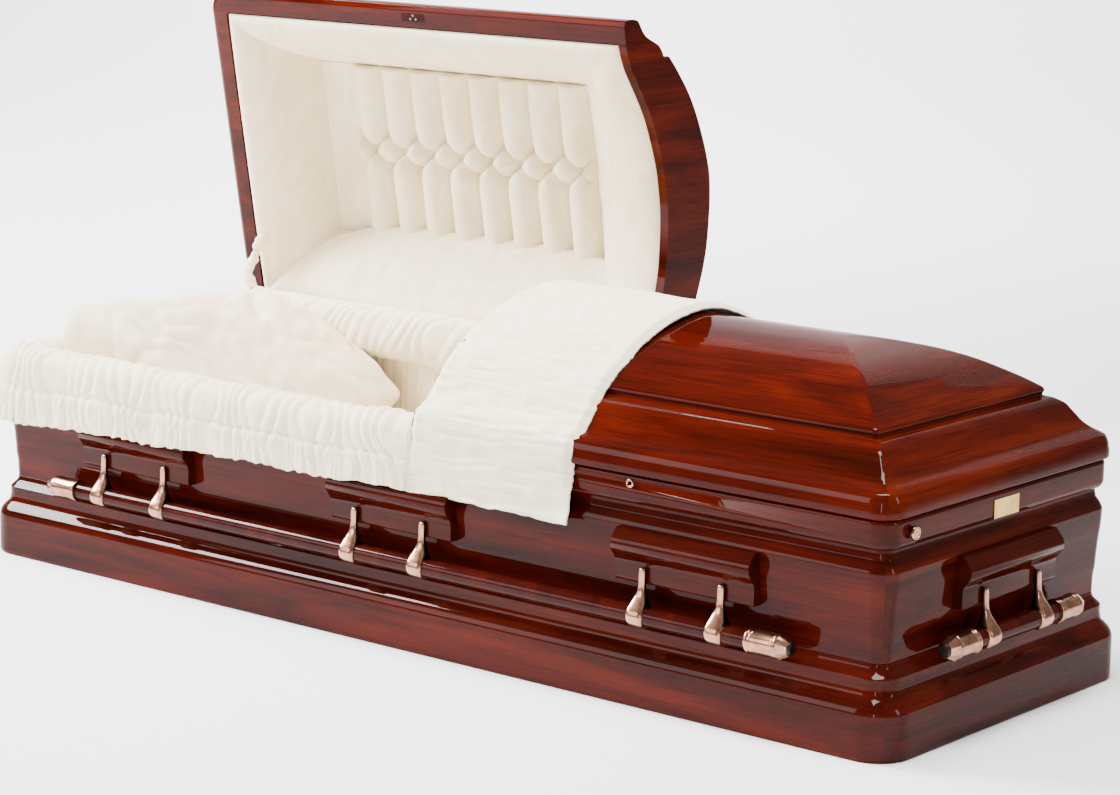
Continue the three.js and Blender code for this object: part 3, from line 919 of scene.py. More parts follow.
@dataclass(frozen=True)
class Lid:
    """One half of the domed lid, with its arched header board.

    Args:
        foot: whether it is the foot half.
        header: x of the cut face of its header board.
        board: how thick the header board is.
        outer: the outer skin, from the rim to the middle of the crown.
        inner: the same for the inner skin.
        arch: the lower edge of the header board, from the rim to the middle.
    """

    foot: bool
    header: float
    board: float = 19.0
    outer: tuple = (
        (62, 381, 1), (29, 381, 2), (19.3, 385, 2), (18.6, 392), (22, 413), (26.6, 423, 3), (36.7, 428),
        (51.8, 435), (62, 444), (70.6, 456), (78, 467), (84, 475.5), (91.6, 481), (100, 485.6), (110, 488.6),
        (113.4, 491.2, 1), (110.2, 498.5, 2), (113, 504, 2), (134, 518.5), (160, 534), (188, 549.5),
        (215, 561.5), (242, 571), (275, 580), (307, 587.5), (335, 592), (354, 594),
    )
    inner: tuple = (
        (62, 381, 1), (62, 424, 3), (82, 446), (96, 461), (112, 473), (130, 496), (160, 516), (188, 532),
        (242, 554), (300, 570), (350, 577),
    )
    arch: tuple = (
        (62, 381, 2), (67, 382.2), (78, 383.5), (109, 391), (141, 405), (178, 422), (219, 438), (268, 450),
        (306, 457), (335, 460), (363, 460.5),
    )

    @staticmethod
    def across(line: Points) -> Points:
        """A half section of (inset, z) carried over the middle, as (y, z) at even spacing."""
        half = np.column_stack([line[:, 0] - PLAN.width / 2, line[:, 1]])
        return resample(np.vstack([half, half[::-1] * (-1, 1)]), 241)

    def build(self, place: Matrix | None = None) -> None:
        """Makes the lid's whole skin, closed.

        Args:
            place: takes it from where it is shut to where it stands, in metres.
        """
        outer, inner = moulding(self.outer), moulding(self.inner)
        back = self.header + (self.board if self.foot else -self.board)
        name = "foot_lid" if self.foot else "head_lid"
        shape = Surface(f"{name}_dome", (Finish.SIDE_WOOD, Finish.END_WOOD))
        slot = PLAN.end_slot(1)
        skin, under = PLAN.run(outer, self.header, self.foot), PLAN.run(inner, back, self.foot)
        shape.patch(skin, slot=slot).patch(under, slot=slot).cap(skin[-1], under[-1])
        arch = self.across(moulding(self.arch))
        for x, line in ((self.header, outer), (back, inner)):
            shape.seam(standing(x, self.across(line)), standing(x, arch), slot=1)
        shape.seam(standing(self.header, arch), standing(back, arch), slot=1)
        shape.build(name, name, place=place)


@dataclass(frozen=True)
class Hinge:
    """The line that both lids turn about.

    Args:
        y: its place across the casket.
        z: its height.
        open_deg: how far the head lid stands open.
    """

    y: float = 348.0
    z: float = 380.5
    open_deg: float = 80.0

    def opened(self) -> Matrix:
        """Takes a point of the shut lid to its place on the open one, in metres."""
        pin = at(0, self.y, self.z)
        return pin @ Matrix.Rotation(-math.radians(self.open_deg), 4, "X") @ pin.inverted()

# Handles

@dataclass(frozen=True)
class Handles:
    """Blocks, arms, bars and caps on all four sides, in the frame of a side: x along it, -y outward.

    Args:
        block_half: half the length of a block.
        block: a block's section, as (y, z, radius).
        arms: distance of each arm from the middle of its block.
        bar_y: the bar's y.
        bar_z: the bar's height.
        bar_r: the bar's radius.
        cap_length: how far an end cap covers the bar.
        arm_sections: z, half width, reach outward, reach inward and squareness of an arm's sections.
        cap_section: the turned part of an end cap, as (radius, height, rounding).
    """

    block_half: float = 141.0
    block: tuple = (
        (29.9, 296, 1), (13, 296, 2), (5.5, 287), (-0.6, 279), (-3, 271), (-2.6, 264), (1.5, 257), (8, 249),
        (12, 242), (13, 234), (13, 212, 2), (15, 208, 1), (33, 208, 1), (30, 248), (26.6, 283), (29.9, 296),
    )
    arms: float = 80.0
    bar_y: float = 3.0
    bar_z: float = 157.0
    bar_r: float = 16.0
    cap_length: float = 62.0
    arm_sections: tuple = (
        (235.7, 3.4, -8.2, 9.8, 2.2), (235.1, 5.0, -6.8, 11.2, 2.4), (233, 6.2, -5.2, 12.3, 2.6),
        (228, 6.6, -4.6, 12.6, 3), (206, 6.8, -3.6, 12.6, 3), (199, 7.8, -2.4, 12.8, 3),
        (191, 10.6, 0.6, 13.4, 2.8), (184, 14.0, 4.6, 14.4, 2.8), (177, 16.2, 9.0, 15.6, 3.4),
        (171, 17.0, 13.2, 18.1, 4.4), (165, 17.4, 16.7, 19.6, 5), (157, 17.4, 18.6, 20.4, 5),
        (149, 17.0, 16.9, 19.6, 5), (144, 16.2, 13.4, 18.5, 4.6), (140, 15.0, 8.6, 14.2, 4),
        (137.6, 12.4, 3.2, 9.2, 3.4), (136.9, 8.0, -1.0, 4.6, 3),
    )
    cap_section: tuple = (
        (0, 0.3, 0), (20.4, 0.3, 0.8), (21.2, 2, 0.8), (21.2, 5, 0.8), (20.0, 6, 0.4), (20.0, 9, 0.3),
        (20.5, 9.6, 0.3), (20.5, 11.4, 0.3), (20.1, 12, 0.3), (20.1, 52, 0.3), (20.6, 52.6, 0.3),
        (20.6, 55, 0.3), (20.2, 55.6, 0.3), (20.6, 58, 0.5), (20.2, 62, 0.5),
    )

    def block_mesh(self) -> bpy.types.Mesh:
        """The moulded block, its ends eased.

        Returns:
            Its mesh.
        """
        section = moulding(self.block, 2.5)[:-1]
        middle = section.mean(axis=0)
        end, eased = self.block_half, self.block_half - 1.2
        return Surface("handle_block", (Finish.BLOCK_WOOD,)).tube(np.stack([
            standing(x, middle + (section - middle) * size)
            for x, size in ((-end, 0.955), (-eased, 1.0), (eased, 1.0), (end, 0.955))])).mesh()

    def arm_mesh(self) -> bpy.types.Mesh:
        """The cast arm, a finger that flares into the collar round the bar.

        Returns:
            Its mesh, with the flanks of the finger in a darker copper: painted shade and reflection.
        """
        steps = 40
        turn = circle(steps)
        c, s = np.cos(turn), np.sin(turn)
        knots = np.array([(*shape, z) for z, *shape in self.arm_sections])
        rows = []
        for half, out, back, power, z in catmull(knots, 1.6):
            depth = max((back + out) / 2, 0.4)
            rows.append(np.column_stack([
                half * np.sign(c) * np.abs(c) ** (2 / power),
                (back - out) / 2 + depth * np.sign(s) * np.abs(s) ** (2 / power), np.full(steps, z)]))
        # painted shade and reflection: the finger's two flanks take a darker copper
        flank = np.abs(np.cos(turn + math.pi / steps)) > 0.8
        finger = int(len(rows) * 0.56)
        shape = Surface("arm", (Finish.COPPER, Finish.PAINTED_DARK_FLANK), 50)
        shape.hoop(np.stack(rows), lambda row, column: int(flank[column] and row < finger))
        return shape.cap(rows[0], rows[-1]).mesh()

    def cap_mesh(self) -> bpy.types.Mesh:
        """The end cap: a ringed barrel, an eight-sided cone and a dark button.

        Returns:
            Its mesh, along Z.
        """
        steps, eighth = 48, math.pi / 8
        facet = 1 / np.cos((circle(steps) + eighth) % (2 * eighth) - eighth) * 0.975
        cone = [turned([(20.0, 62)], steps), turned([(20.0, 62.4), (12.6, 78.4), (12.0, 79)], steps, facet)]
        shape = Surface("bar_cap", (Finish.COPPER, Finish.SHADOW), 24)
        shape.hoop(turned(moulding(self.cap_section, 2), steps)).hoop(np.concatenate(cone))
        return shape.hoop(turned([(12.0, 79), (11.6, 81), (9, 83.6), (0.0, 84)], steps), slot=1).mesh()

    def bar_mesh(self, half: float) -> bpy.types.Mesh:
        """The round wooden bar between its caps, along Z, from -half to half."""
        return lathe("bar", [(0, -half), (self.bar_r, -half), (self.bar_r, half), (0, half)],
                     Finish.BAR_WOOD, step=4000)

    def build(self) -> None:
        """Sets the handles on every side."""
        block, arm, cap = self.block_mesh(), self.arm_mesh(), self.cap_mesh()
        long_side, end = PLAN.width / 2, PLAN.length / 2
        thirds = (-644, 0, 644)
        # side, places of its blocks, half the bar with its caps, place of the side, its turn
        sides = (
            ("front", thirds, 849, (0, -long_side), 0), ("rear", thirds, 849, (0, long_side), 180),
            ("foot", (0,), 185, (end, 0), 90), ("head", (0,), 185, (-end, 0), -90),
        )
        for side, blocks, half, origin, turn in sides:
            frame = at(*origin, 0, turn)
            body = f"{side}_bar"
            for i, x in enumerate(blocks):
                tag = f"{side}_{i + 1}" if len(blocks) > 1 else side
                piece(f"block_{tag}", block, "casket", f"handle_block_{tag}", place=frame @ at(x, 0, 0))
                for letter, dx in (("a", -self.arms), ("b", self.arms)):
                    piece(f"swing_arm_{tag}_{letter}", arm, body, f"arm_{tag}_{letter}",
                          place=frame @ at(x + dx, 0, 0))
            axis = frame @ at(0, self.bar_y, self.bar_z)
            bare = half - self.cap_length
            piece(f"swing_bar_{side}", self.bar_mesh(bare), body, f"bar_{side}",
                  place=axis @ at(0, 0, 0, 90, "Y"))
            for letter, sign in (("a", -1), ("b", 1)):
                piece(f"end_cap_{side}_{letter}", cap, body, f"bar_cap_{side}_{letter}",
                      place=axis @ at(sign * bare, 0, 0, 90 * sign, "Y"))


# Bedding

@dataclass(frozen=True)
class Extendover:
    """The puffed roll over the rail and the gathered skirt below it.

    Distances along it run from its foot end, along the front and then round the head end.

    Args:
        section: (inset, z) knots, from the inside of the box over the rail to the hem.
        seam: x of the seam between the front and the head strip.
        head_end: y where it ends at the rear.
        foot_end: x where it starts.
        girth: length of the section.
    """

    section: tuple = (
        (78, 336), (80.5, 368), (79, 389), (68, 403), (54, 410.5), (40, 412), (24, 406), (11, 395), (4, 380),
        (0, 358), (-2.5, 335), (-3, 312), (-4, 296), (-5, 280),
    )
    seam: float = -965.0
    head_end: float = 268.0
    foot_end: float = 44.0
    girth: float = 190.0

    def path(self, inset: Points, along: Points) -> tuple[Points, Points]:
        """Carries the cloth along the front and round the head corner.

        Args:
            inset: distance in from the plan's outline.
            along: distance along the run.

        Returns:
            X and Y of each point.
        """
        hx, hy, radius = PLAN.length / 2, PLAN.width / 2, PLAN.corner
        straight = self.foot_end + hx - radius
        turn = np.clip((along - straight) / radius, 0, math.pi / 2)
        past = np.maximum(along - straight - radius * math.pi / 2, 0)
        r = radius - inset
        x = np.where(along < straight, self.foot_end - along, -hx + radius - r * np.sin(turn))
        y = np.where(along < straight, -hy + inset, -hy + radius - r * np.cos(turn) + past)
        # cloth further in than the corner's radius has no arc left and turns square
        return np.where((r < 0) & (along >= straight), inset - hx, x), y

    def strip(self, name: str, start: float, stop: float, node: str) -> bpy.types.Object:
        """Makes one length of the extendover.

        Args:
            name: the piece's name.
            start: distance along the run where it starts.
            stop: distance where it stops.
            node: the CAD node it stands for.

        Returns:
            The object.
        """
        line = smooth_line(self.section, 3, 84)
        normal = -normals(line)
        v, u = np.meshgrid(np.linspace(0, 1, len(line)), np.arange(start, stop + 1e-6, 3.2), indexing="ij")
        depth = v * self.girth
        roll = folds(u + 0.16 * depth, depth, 30, 3, 1.0, 55) * (6.4 + 1.8 * smoothstep(0.25, 0.6, v))
        fine = folds(u, depth, 9.5, 11, 0.9, 30) * (2.0 + 3.2 * smoothstep(0.7, 0.84, v))
        # the gathering thread above the ruffle
        band = -4.2 * np.exp(-((v - 0.76 - 0.012 * noise(u / 60, 0.0, 5)) / 0.022) ** 2)
        lift = roll + fine + band + 3.5 * noise(u / 80, depth / 70, 21) - 5.0
        lift *= smoothstep(0, 0.1, v)
        # the foot end tucks in behind the throw
        lift -= 5.0 * np.exp(-(u / 22) ** 2) * smoothstep(0.45, 0.7, v)
        d, z = lifted(line, normal, lift)
        # the hem wavers, and hangs a little lower at the head end
        hem = smoothstep(0.6, 1.0, v)
        z = z + hem * (2.5 * noise(u / 13, 0.0, 8) + 3.0 * noise(u / 90, 0.0, 9)
                       + np.interp(u, [0, 300, 560, 1010, 1180], [5, 4, 0, -12, -20]))
        outer = np.stack([*self.path(d, u), z], axis=2)
        # only the ruffle shows its inside, 2.4 mm behind
        inner = np.stack([*self.path(np.maximum(d + 2.4, 0.0), u), z + 1.0 * (1 - hem)], axis=2)
        shape = Surface(name, (Finish.VELVET,), 180)
        shape.patch(outer).patch(inner[-14:][::-1]).seam(outer[-1], inner[-1])
        if start == 0:
            # the foot end is turned in by 12 mm, so that no gap shows beside the throw
            shape.seam(outer[:, 0], outer[:, 0] + (0.0, 12.0, 0.0))
        return shape.build("casket", node)

    def build(self) -> None:
        """Lays the front run and the head run, one pattern of gathers over both."""
        corner = self.foot_end - self.seam
        front = self.strip("front_extendover_skirt", 0.0, corner, "extendover_front")
        total = self.foot_end + PLAN.length / 2 + PLAN.width / 2 + self.head_end \
            - (2 - math.pi / 2) * PLAN.corner
        head = self.strip("head_extendover_skirt", corner, total, "extendover_head")
        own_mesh(front)
        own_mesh(head)


@dataclass(frozen=True)
class BoxBedding:
    """Mattress, side cloth, rear roll and pillow.

    Args:
        roll: the rear roll's closed section, as (inset, z).
        pillow: the pillow's closed side view, as (x, z).
        pillow_half: half its width.
        knots: x, y, reach, number and seed of the creases from each corner of the pillow.
        bed: the bed's section from below to its top, as (inset, z, radius).
    """

    roll: tuple = (
        (66, 352), (64, 372), (58, 384), (34, 384), (27, 400), (32, 428), (50, 449), (74, 456), (94, 448),
        (105, 424), (108, 396), (104, 370), (92, 353), (78, 348),
    )
    pillow: tuple = (
        (-548, 246), (-700, 246), (-900, 246), (-958, 248), (-969, 300), (-970, 380), (-968, 440),
        (-948, 469), (-900, 482), (-850, 481), (-800, 470), (-740, 443), (-680, 411), (-620, 378),
        (-575, 348), (-540, 312), (-532, 280),
    )
    pillow_half: float = 250.0
    knots: tuple = (
        (-955, -250, 330, 17, 51), (-955, 250, 260, 15, 52), (-540, 250, 190, 13, 53),
        (-540, -250, 170, 11, 54),
    )
    bed: tuple = ((76, 22.5, 1), (70, 40, 6), (70, 226, 12), (86, 245, 1), (120, 245.2), (200, 246))

    def side_cloth(self) -> None:
        """The gathered cloth down the inside walls."""
        hx, hy = PLAN.length / 2 - 62, PLAN.width / 2 - 62
        along = np.arange(0, hx + 40, 4.0)
        rows = []
        for z in np.linspace(238, 360, 26):
            depth = np.full(len(along), z)
            puff = folds(along, depth, 16, 31, 0.8, 80) * 7.5 + 1.0
            rows.append(np.column_stack([-hx + along, hy - 0.5 - puff, depth]))
        ring = PLAN.ring(np.array([(60.4, 40), (60.4, 331.5), (62.5, 331.5), (62.5, 40), (60.4, 40)]))
        Surface("side_cloth_gathers", (Finish.VELVET,), 180).hoop(ring).patch(np.stack(rows)) \
            .build("casket", "body_lining")

    def rear_roll(self) -> None:
        """The shirred roll along the rear wall, its folds leaning towards the head."""
        line = smooth_line(self.roll, 3, 90, closed=True)
        normal = normals(line, closed=True)
        normal *= np.sign(((line - line.mean(axis=0)) * normal).sum(axis=1).mean())
        v, u = np.meshgrid(np.linspace(0, 320, len(line)), np.arange(-962, 36.1, 3.5), indexing="ij")
        lean = u + 0.55 * v
        lift = 5.0 * folds(lean, v, 30, 41, 0.9, 70) + 2.2 * folds(lean, v, 11, 43, 0.9, 40) - 5
        lift += 2.5 * noise(u / 80, v / 60, 45)
        d, z = lifted(line, normal, lift)
        grid = np.stack([u, PLAN.width / 2 - d, z], axis=2)
        roll = Surface("rear_roll_shirred", (Finish.VELVET,), 180).patch(grid, (True, False)) \
            .cap(grid[:, 0], grid[:, -1]).build("casket", "rear_roll")
        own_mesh(roll)

    def creases(self, x: Points, y: Points) -> Points:
        """How far the pillow's cloth stands out.

        Args:
            x: place along the casket.
            y: place across it.

        Returns:
            The height of its creases, which fan out from the corners, and of the waves between them.
        """
        lift = np.zeros_like(x)
        for cx, cy, reach, count, seed in self.knots:
            dx, dy = x - cx, y - cy
            r = np.hypot(dx, dy) + 1
            angle = np.arctan2(dy, dx) + 0.25 * noise(r / 70, 0.0, seed)
            ridge = np.abs(np.sin(angle * count / 2 + noise(angle * 2 + 7, r / 90, seed + 20))) ** 0.8
            lift += 13.0 * ridge * np.exp(-(r / reach) ** 2) * (1 - np.exp(-(r / 25) ** 2))
        lift += 3.5 * noise(x / 90, y / 70, 57) + 3.4 * noise((x + 0.7 * y) / 26, (y - 0.7 * x) / 110, 58)
        lift += 2.4 * np.abs(noise((x + 0.4 * y) / 34, (y - 0.4 * x) / 160, 59)) - 5
        return lift

    def headrest(self) -> None:
        """The wedge pillow, pulled in to a knot at each corner."""
        line = smooth_line(self.pillow, 4, 150, closed=True)
        middle = np.array([-770.0, 335.0])
        # rows of points lie closer towards the two sides
        s = np.linspace(-1, 1, 121)
        s = np.sign(s) * (1 - (1 - np.abs(s)) ** 1.25)
        rows = []
        for t in s:
            shape = middle + (line - middle) * (1 - 0.08 * abs(t) ** 12)
            side = np.full(len(shape), self.pillow_half * t)
            rows.append(np.column_stack([shape[:, 0], side, shape[:, 1]]))
        grid = np.stack(rows)
        x, y, z = grid[..., 0], grid[..., 1], grid[..., 2]
        inward = np.array([middle[0], 0, middle[1]]) - grid
        inward[..., 1] *= 0.2
        inward /= np.linalg.norm(inward, axis=2)[..., None]
        grid = grid - inward * (self.creases(x, y) * smoothstep(250, 290, z))[..., None]
        # ears at the high corners and toes at the low ones
        ears = np.exp(-((x + 952) / 30) ** 2 - ((np.abs(y) - 246) / 26) ** 2 - ((z - 460) / 34) ** 2)
        toes = np.exp(-((x + 540) / 34) ** 2 - ((np.abs(y) - 246) / 36) ** 2 - ((z - 296) / 26) ** 2)
        grid[..., 2] += 10 * ears
        grid[..., 0] += 34 * toes
        # it slumps towards the rear wall and lies flat on the bed
        grid[..., 2] -= 0.05 * (y + 250) * smoothstep(300, 470, z)
        grid[..., 2] = np.maximum(grid[..., 2], 245.6)
        # the pillow's velvet is painted beige for the shade it sits in
        shape = Surface("pillow_crushed", (Finish.PILLOW_PAINTED_SHADE,), 180).hoop(grid)
        for end in (grid[0], grid[-1]):
            centre = end.mean(axis=0)
            bulge = math.copysign(16, centre[1])
            shape.hoop(np.stack([centre + (end - centre) * k + (0, bulge * math.sqrt(1 - k * k), 0)
                                 for k in (1.0, 0.96, 0.88, 0.75, 0.55, 0.3, 0.02)]))
        pillow = shape.build("casket", "pillow")
        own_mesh(pillow)

    def mattress(self) -> None:
        """The made-up bed under the bedding."""
        grid = PLAN.ring(moulding(self.bed, 6))
        bed = Surface("bed_cover", (Finish.VELVET,)).tube(grid).build("casket", "mattress")

    def build(self) -> None:
        """Makes the bed in the box."""
        self.mattress()
        self.side_cloth()
        self.rear_roll()
        self.headrest()


@dataclass(frozen=True)
class Throw:
    """The loose cover over the header end of the foot lid and down the front.

    Args:
        ends: x of its left and right edges.
        line: (inset, z) knots of its drape, from the front hem over the crown.
    """

    ends: tuple[float, float] = (46.0, 405.0)
    line: tuple = (
        (1, 286), (3, 300), (4.5, 330), (7, 360), (8, 388), (10.5, 410), (17, 428), (30, 439), (46, 448),
        (57, 458), (66, 470), (75, 482), (85, 493), (95, 505), (107, 517), (130, 533), (158, 549), (185, 565),
        (212, 579), (240, 590), (274, 601), (307, 609), (363, 614), (420, 609), (452, 601), (486, 590),
        (514, 579), (541, 565), (568, 549), (590, 536), (598, 530),
    )

    def build(self) -> None:
        """Drapes it."""
        line = smooth_line(self.line, 4, 260)
        normal = normals(line)
        across = np.linspace(0, 1, 112)
        v, u = np.meshgrid(np.linspace(0, len(line) * 3.9, len(line)),
                           self.ends[0] + across * (self.ends[1] - self.ends[0]), indexing="ij")
        # crush marks lie across the drape, 25 to 60 mm long and fading towards the ridge
        near = 1 - 0.75 * smoothstep(330, 620, v)
        marks = np.abs(noise(u / 74, v / 13, 61)) ** 1.2 * 5.0 + np.abs(noise(u / 40, v / 8, 62)) * 1.3
        lift = -marks * near + 2.0 * noise(u / 110, v / 90, 63) - 1.0
        # both edges hug what they lie on
        edge = smoothstep(0, 0.05, across) * smoothstep(0, 0.04, 1 - across)
        lift = lift + (1 - edge) * -9.0 * smoothstep(30, 120, v)
        d, z = lifted(line, normal, lift)
        z = z + (1 - smoothstep(0, 60, v)) * (2.0 * noise(u / 18, 0.0, 65) - 3.0 * smoothstep(0.2, 1, across))
        x = u + 1.5 * np.abs(noise(v / 70, 0.0, 66)) * (1 - edge)
        # below the rail the edge laps over the end of the extendover
        x -= 3.0 * (1 - smoothstep(150, 175, v)) * (1 - across) ** 6
        outer = np.stack([x, d - PLAN.width / 2, z], axis=2)
        thick = 3.0
        inner = np.stack([x, d - normal[:, :1] * thick - PLAN.width / 2, z - normal[:, 1:] * thick], axis=2)
        shape = Surface("throw_cover", (Finish.VELVET,), 180)
        shape.patch(outer).patch(inner[::-1]).seam(outer[0], inner[0]).seam(outer[-1], inner[-1])
        shape.seam(outer[:, 0], inner[:, 0]).seam(outer[:, -1], inner[:, -1])
        cloth = shape.build("foot_lid", "throw")


@dataclass(frozen=True)
class LidLining:
    """Tufted panel and padded rolls inside a lid, in the place where the lid is shut.

    Args:
        foot: whether it lines the foot half.
        span: x at the two ends of the lining.
        panel_x: x at the two ends of the panel.
        panel_inset: inset from the front of the panel's two long edges.
        top: height of the panel's backing with the lid shut.
        pitch: spacing of the flutes.
        tuft_x: x of the first and the last seam between flutes.
    """

    foot: bool
    span: tuple[float, float]
    panel_x: tuple[float, float]
    panel_inset: tuple[float, float]
    top: float = 520.0
    pitch: float = 76.5
    tuft_x: tuple[float, float] = (-779.5, -180.0)

    def puff(self, x: Points, s: Points) -> Points:
        """Height of the tufted cloth over its backing.

        Args:
            x: place along the casket.
            s: distance from the hinge side.

        Returns:
            The heights.
        """
        upper, middle, lower = 387.0, 353.0, 318.0
        first, last = self.tuft_x
        u = (x - first) / self.pitch
        # seams run straight above and below the tufts, and cross between them, half a pitch apart
        straight = np.abs(np.sin(np.pi * u))
        lean = 0.5 * (1 - np.abs((s - middle) / (upper - middle)))
        diamonds = np.minimum(np.abs(np.sin(np.pi * (u - lean))), np.abs(np.sin(np.pi * (u + lean))))
        ends = smoothstep(first - 6, first + 6, x) * (1 - smoothstep(last - 6, last + 6, x))
        height = 33 * np.where((s > upper) | (s < lower), straight, diamonds) ** 0.5 * ends + 4 * (1 - ends)
        # each tuft is a pit 20 mm deep
        for level, offset in ((upper, 0.0), (middle, 0.5), (lower, 0.0)):
            du = (u - offset) - np.round(u - offset)
            height = height - 20 * np.exp(-(np.hypot(du * self.pitch, s - level) / 10) ** 2) * ends
        return height

    def build(self) -> None:
        """Makes the panel and the rolls."""
        x0, x1 = self.panel_x
        y0, y1 = (d - PLAN.width / 2 for d in self.panel_inset)
        name = "foot_lid" if self.foot else "head_lid"
        place = None if self.foot else Hinge().opened()
        if not self.foot:
            step = 2.4
            gx, gy = np.meshgrid(np.linspace(x0, x1, int((x1 - x0) / step)),
                                 np.linspace(y0, y1, int((y1 - y0) / step)), indexing="ij")
            gz = self.top - self.puff(gx, Hinge().y - gy) - 1.2 * noise(gx / 28, gy / 60, 71)
            grid = np.stack([gx, gy, gz], axis=2)
            back = grid.copy()
            back[..., 2] = self.top + 4
            lining = Surface("tufted_panel", (Finish.PANEL_CLOTH,), 180).patch(grid)
            lining.seam(grid[0], back[0]).seam(grid[-1], back[-1])
            lining.seam(grid[:, 0], back[:, 0]).seam(grid[:, -1], back[:, -1]).patch(back[::12, ::12])
            panel = lining.build(name, "head_lid_panel", place=place)
        self.rolls(name, place, (x0, x1, y0, y1))

    def rolls(self, name: str, place: Matrix | None, panel: tuple[float, float, float, float]) -> None:
        """Makes the four padded rolls, from the rim in to the panel.

        Args:
            name: the lid's name.
            place: takes them from the shut lid to where it stands, in metres.
            panel: the first and last x and y of the panel.
        """
        x0, x1, y0, y1 = panel
        sx0, sx1 = self.span
        edge, least = PLAN.width / 2 - 65.0, 12
        shape = Surface(f"{name}_rolls", (Finish.PANEL_CLOTH,), 60)
        board = sx0 if self.foot else sx1
        # the two ends of each roll at the rim and at the panel, and its bulge
        sides = (
            ((sx0, -edge), (sx1, -edge), (x0, y0), (x1, y0), 16),
            ((sx1, -edge), (sx1, edge), (x1, y0), (x1, y1), 14),
            ((sx1, edge), (sx0, edge), (x1, y1), (x0, y1), 34),
            ((sx0, edge), (sx0, -edge), (x0, y1), (x0, y0), 20),
        )
        t, v = np.linspace(0, 1, 60), np.linspace(0, 1, 36)[:, None]
        for (ax, ay), (bx, by), (cx, cy), (ex, ey), bulge in sides:
            rim_x, rim_y = ax + (bx - ax) * t, ay + (by - ay) * t
            in_x, in_y = cx + (ex - cx) * t, cy + (ey - cy) * t
            rim_z = np.where(np.abs(rim_x - board) < 1, self.arch_height(rim_y), 385.0)
            # neighbouring rolls share one height at their mitre
            swell = least + (bulge - least) * np.sin(np.pi * t) ** 0.4
            gz = rim_z + (self.top - 2 - rim_z) * v ** 1.7 - swell * np.sin(np.pi * v ** 0.8) ** 0.75
            shape.patch(np.stack([rim_x + (in_x - rim_x) * v, rim_y + (in_y - rim_y) * v, gz], axis=2))
        if not self.foot:
            shape.patch(self.crescent(sx0, sx1, edge, y1))
        rolls = shape.build(name, "foot_lid_lining" if self.foot else "head_lid_roll", place=place)
        if self.foot:
            gx, gy = np.meshgrid(np.linspace(x0, x1, 60), np.linspace(y0, y1, 40), indexing="ij")
            grid = np.stack([gx, gy, self.top - 2 - 1.5 * noise(gx / 60, gy / 60, 75)], axis=2)
            cloth = Surface("foot_lid_cloth", (Finish.PANEL_CLOTH,), 180).patch(grid).build(name)

    @staticmethod
    def crescent(start: float, stop: float, edge: float, seam: float) -> Points:
        """The plump crescent along the hinge side, which hides the lower ends of the flutes.

        Args:
            start: x of one end of the lining.
            stop: x of the other.
            edge: y of the lining's rim.
            seam: y of the panel's edge.

        Returns:
            Its grid of points.
        """
        t = np.linspace(0, 1, 120)
        full = np.sqrt(np.clip(1 - np.abs(2 * t - 1) ** 4, 0, 1))
        v = np.concatenate([np.linspace(0, 1, 30), [1.03, 1.03]])[:, None]
        rise = np.clip(v, 0, 1)
        gx = start + 45 + (stop - start - 60) * t + 0 * v
        gy = edge - 0.5 - (edge - seam + 26) * full * v
        gz = 384 + 112 * rise ** 1.5 * full - 26 * full * np.sin(np.pi * rise ** 0.8) ** 0.7
        # the last row turns in behind the flutes
        gz[-1] += 30
        return np.stack([gx, gy, gz], axis=2)

    @staticmethod
    def arch_height(y: Points) -> Points:
        """Height of the header board's arch at y, a little inside its edge."""
        arch = np.array([knot[:2] for knot in Lid.arch], float)
        return np.interp(PLAN.width / 2 - np.abs(y), arch[:, 0], arch[:, 1]) + 3


@dataclass(frozen=True)
class StayCover:
    """The cloth sleeve over the lid stay at the head end.

    Args:
        path: knots of its middle line.
    """

    path: tuple = ((-984, 296, 452), (-992, 297, 480), (-978, 300, 520), (-958, 301, 562))

    def build(self) -> None:
        """Makes the sleeve, which bends between the box and the lid."""
        line = smooth_line(self.path, 3, 50)
        turn = circle(26)
        rows = []
        for t, centre in zip(np.arange(len(line)) / (len(line) - 1), line):
            size = 10.5 + 2.2 * math.sin(17 * t) + 1.2 * math.sin(41 * t + 1)
            wave = size + 1.3 * np.sin(3 * turn + 9 * t)
            rows.append(centre + np.column_stack([wave * np.cos(turn), 0.8 * wave * np.sin(turn), 0 * turn]))
        sleeve = Surface("stay_sleeve", (Finish.VELVET,), 180).tube(np.stack(rows)).build("", "stay_cover")
        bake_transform(sleeve)


# Fittings

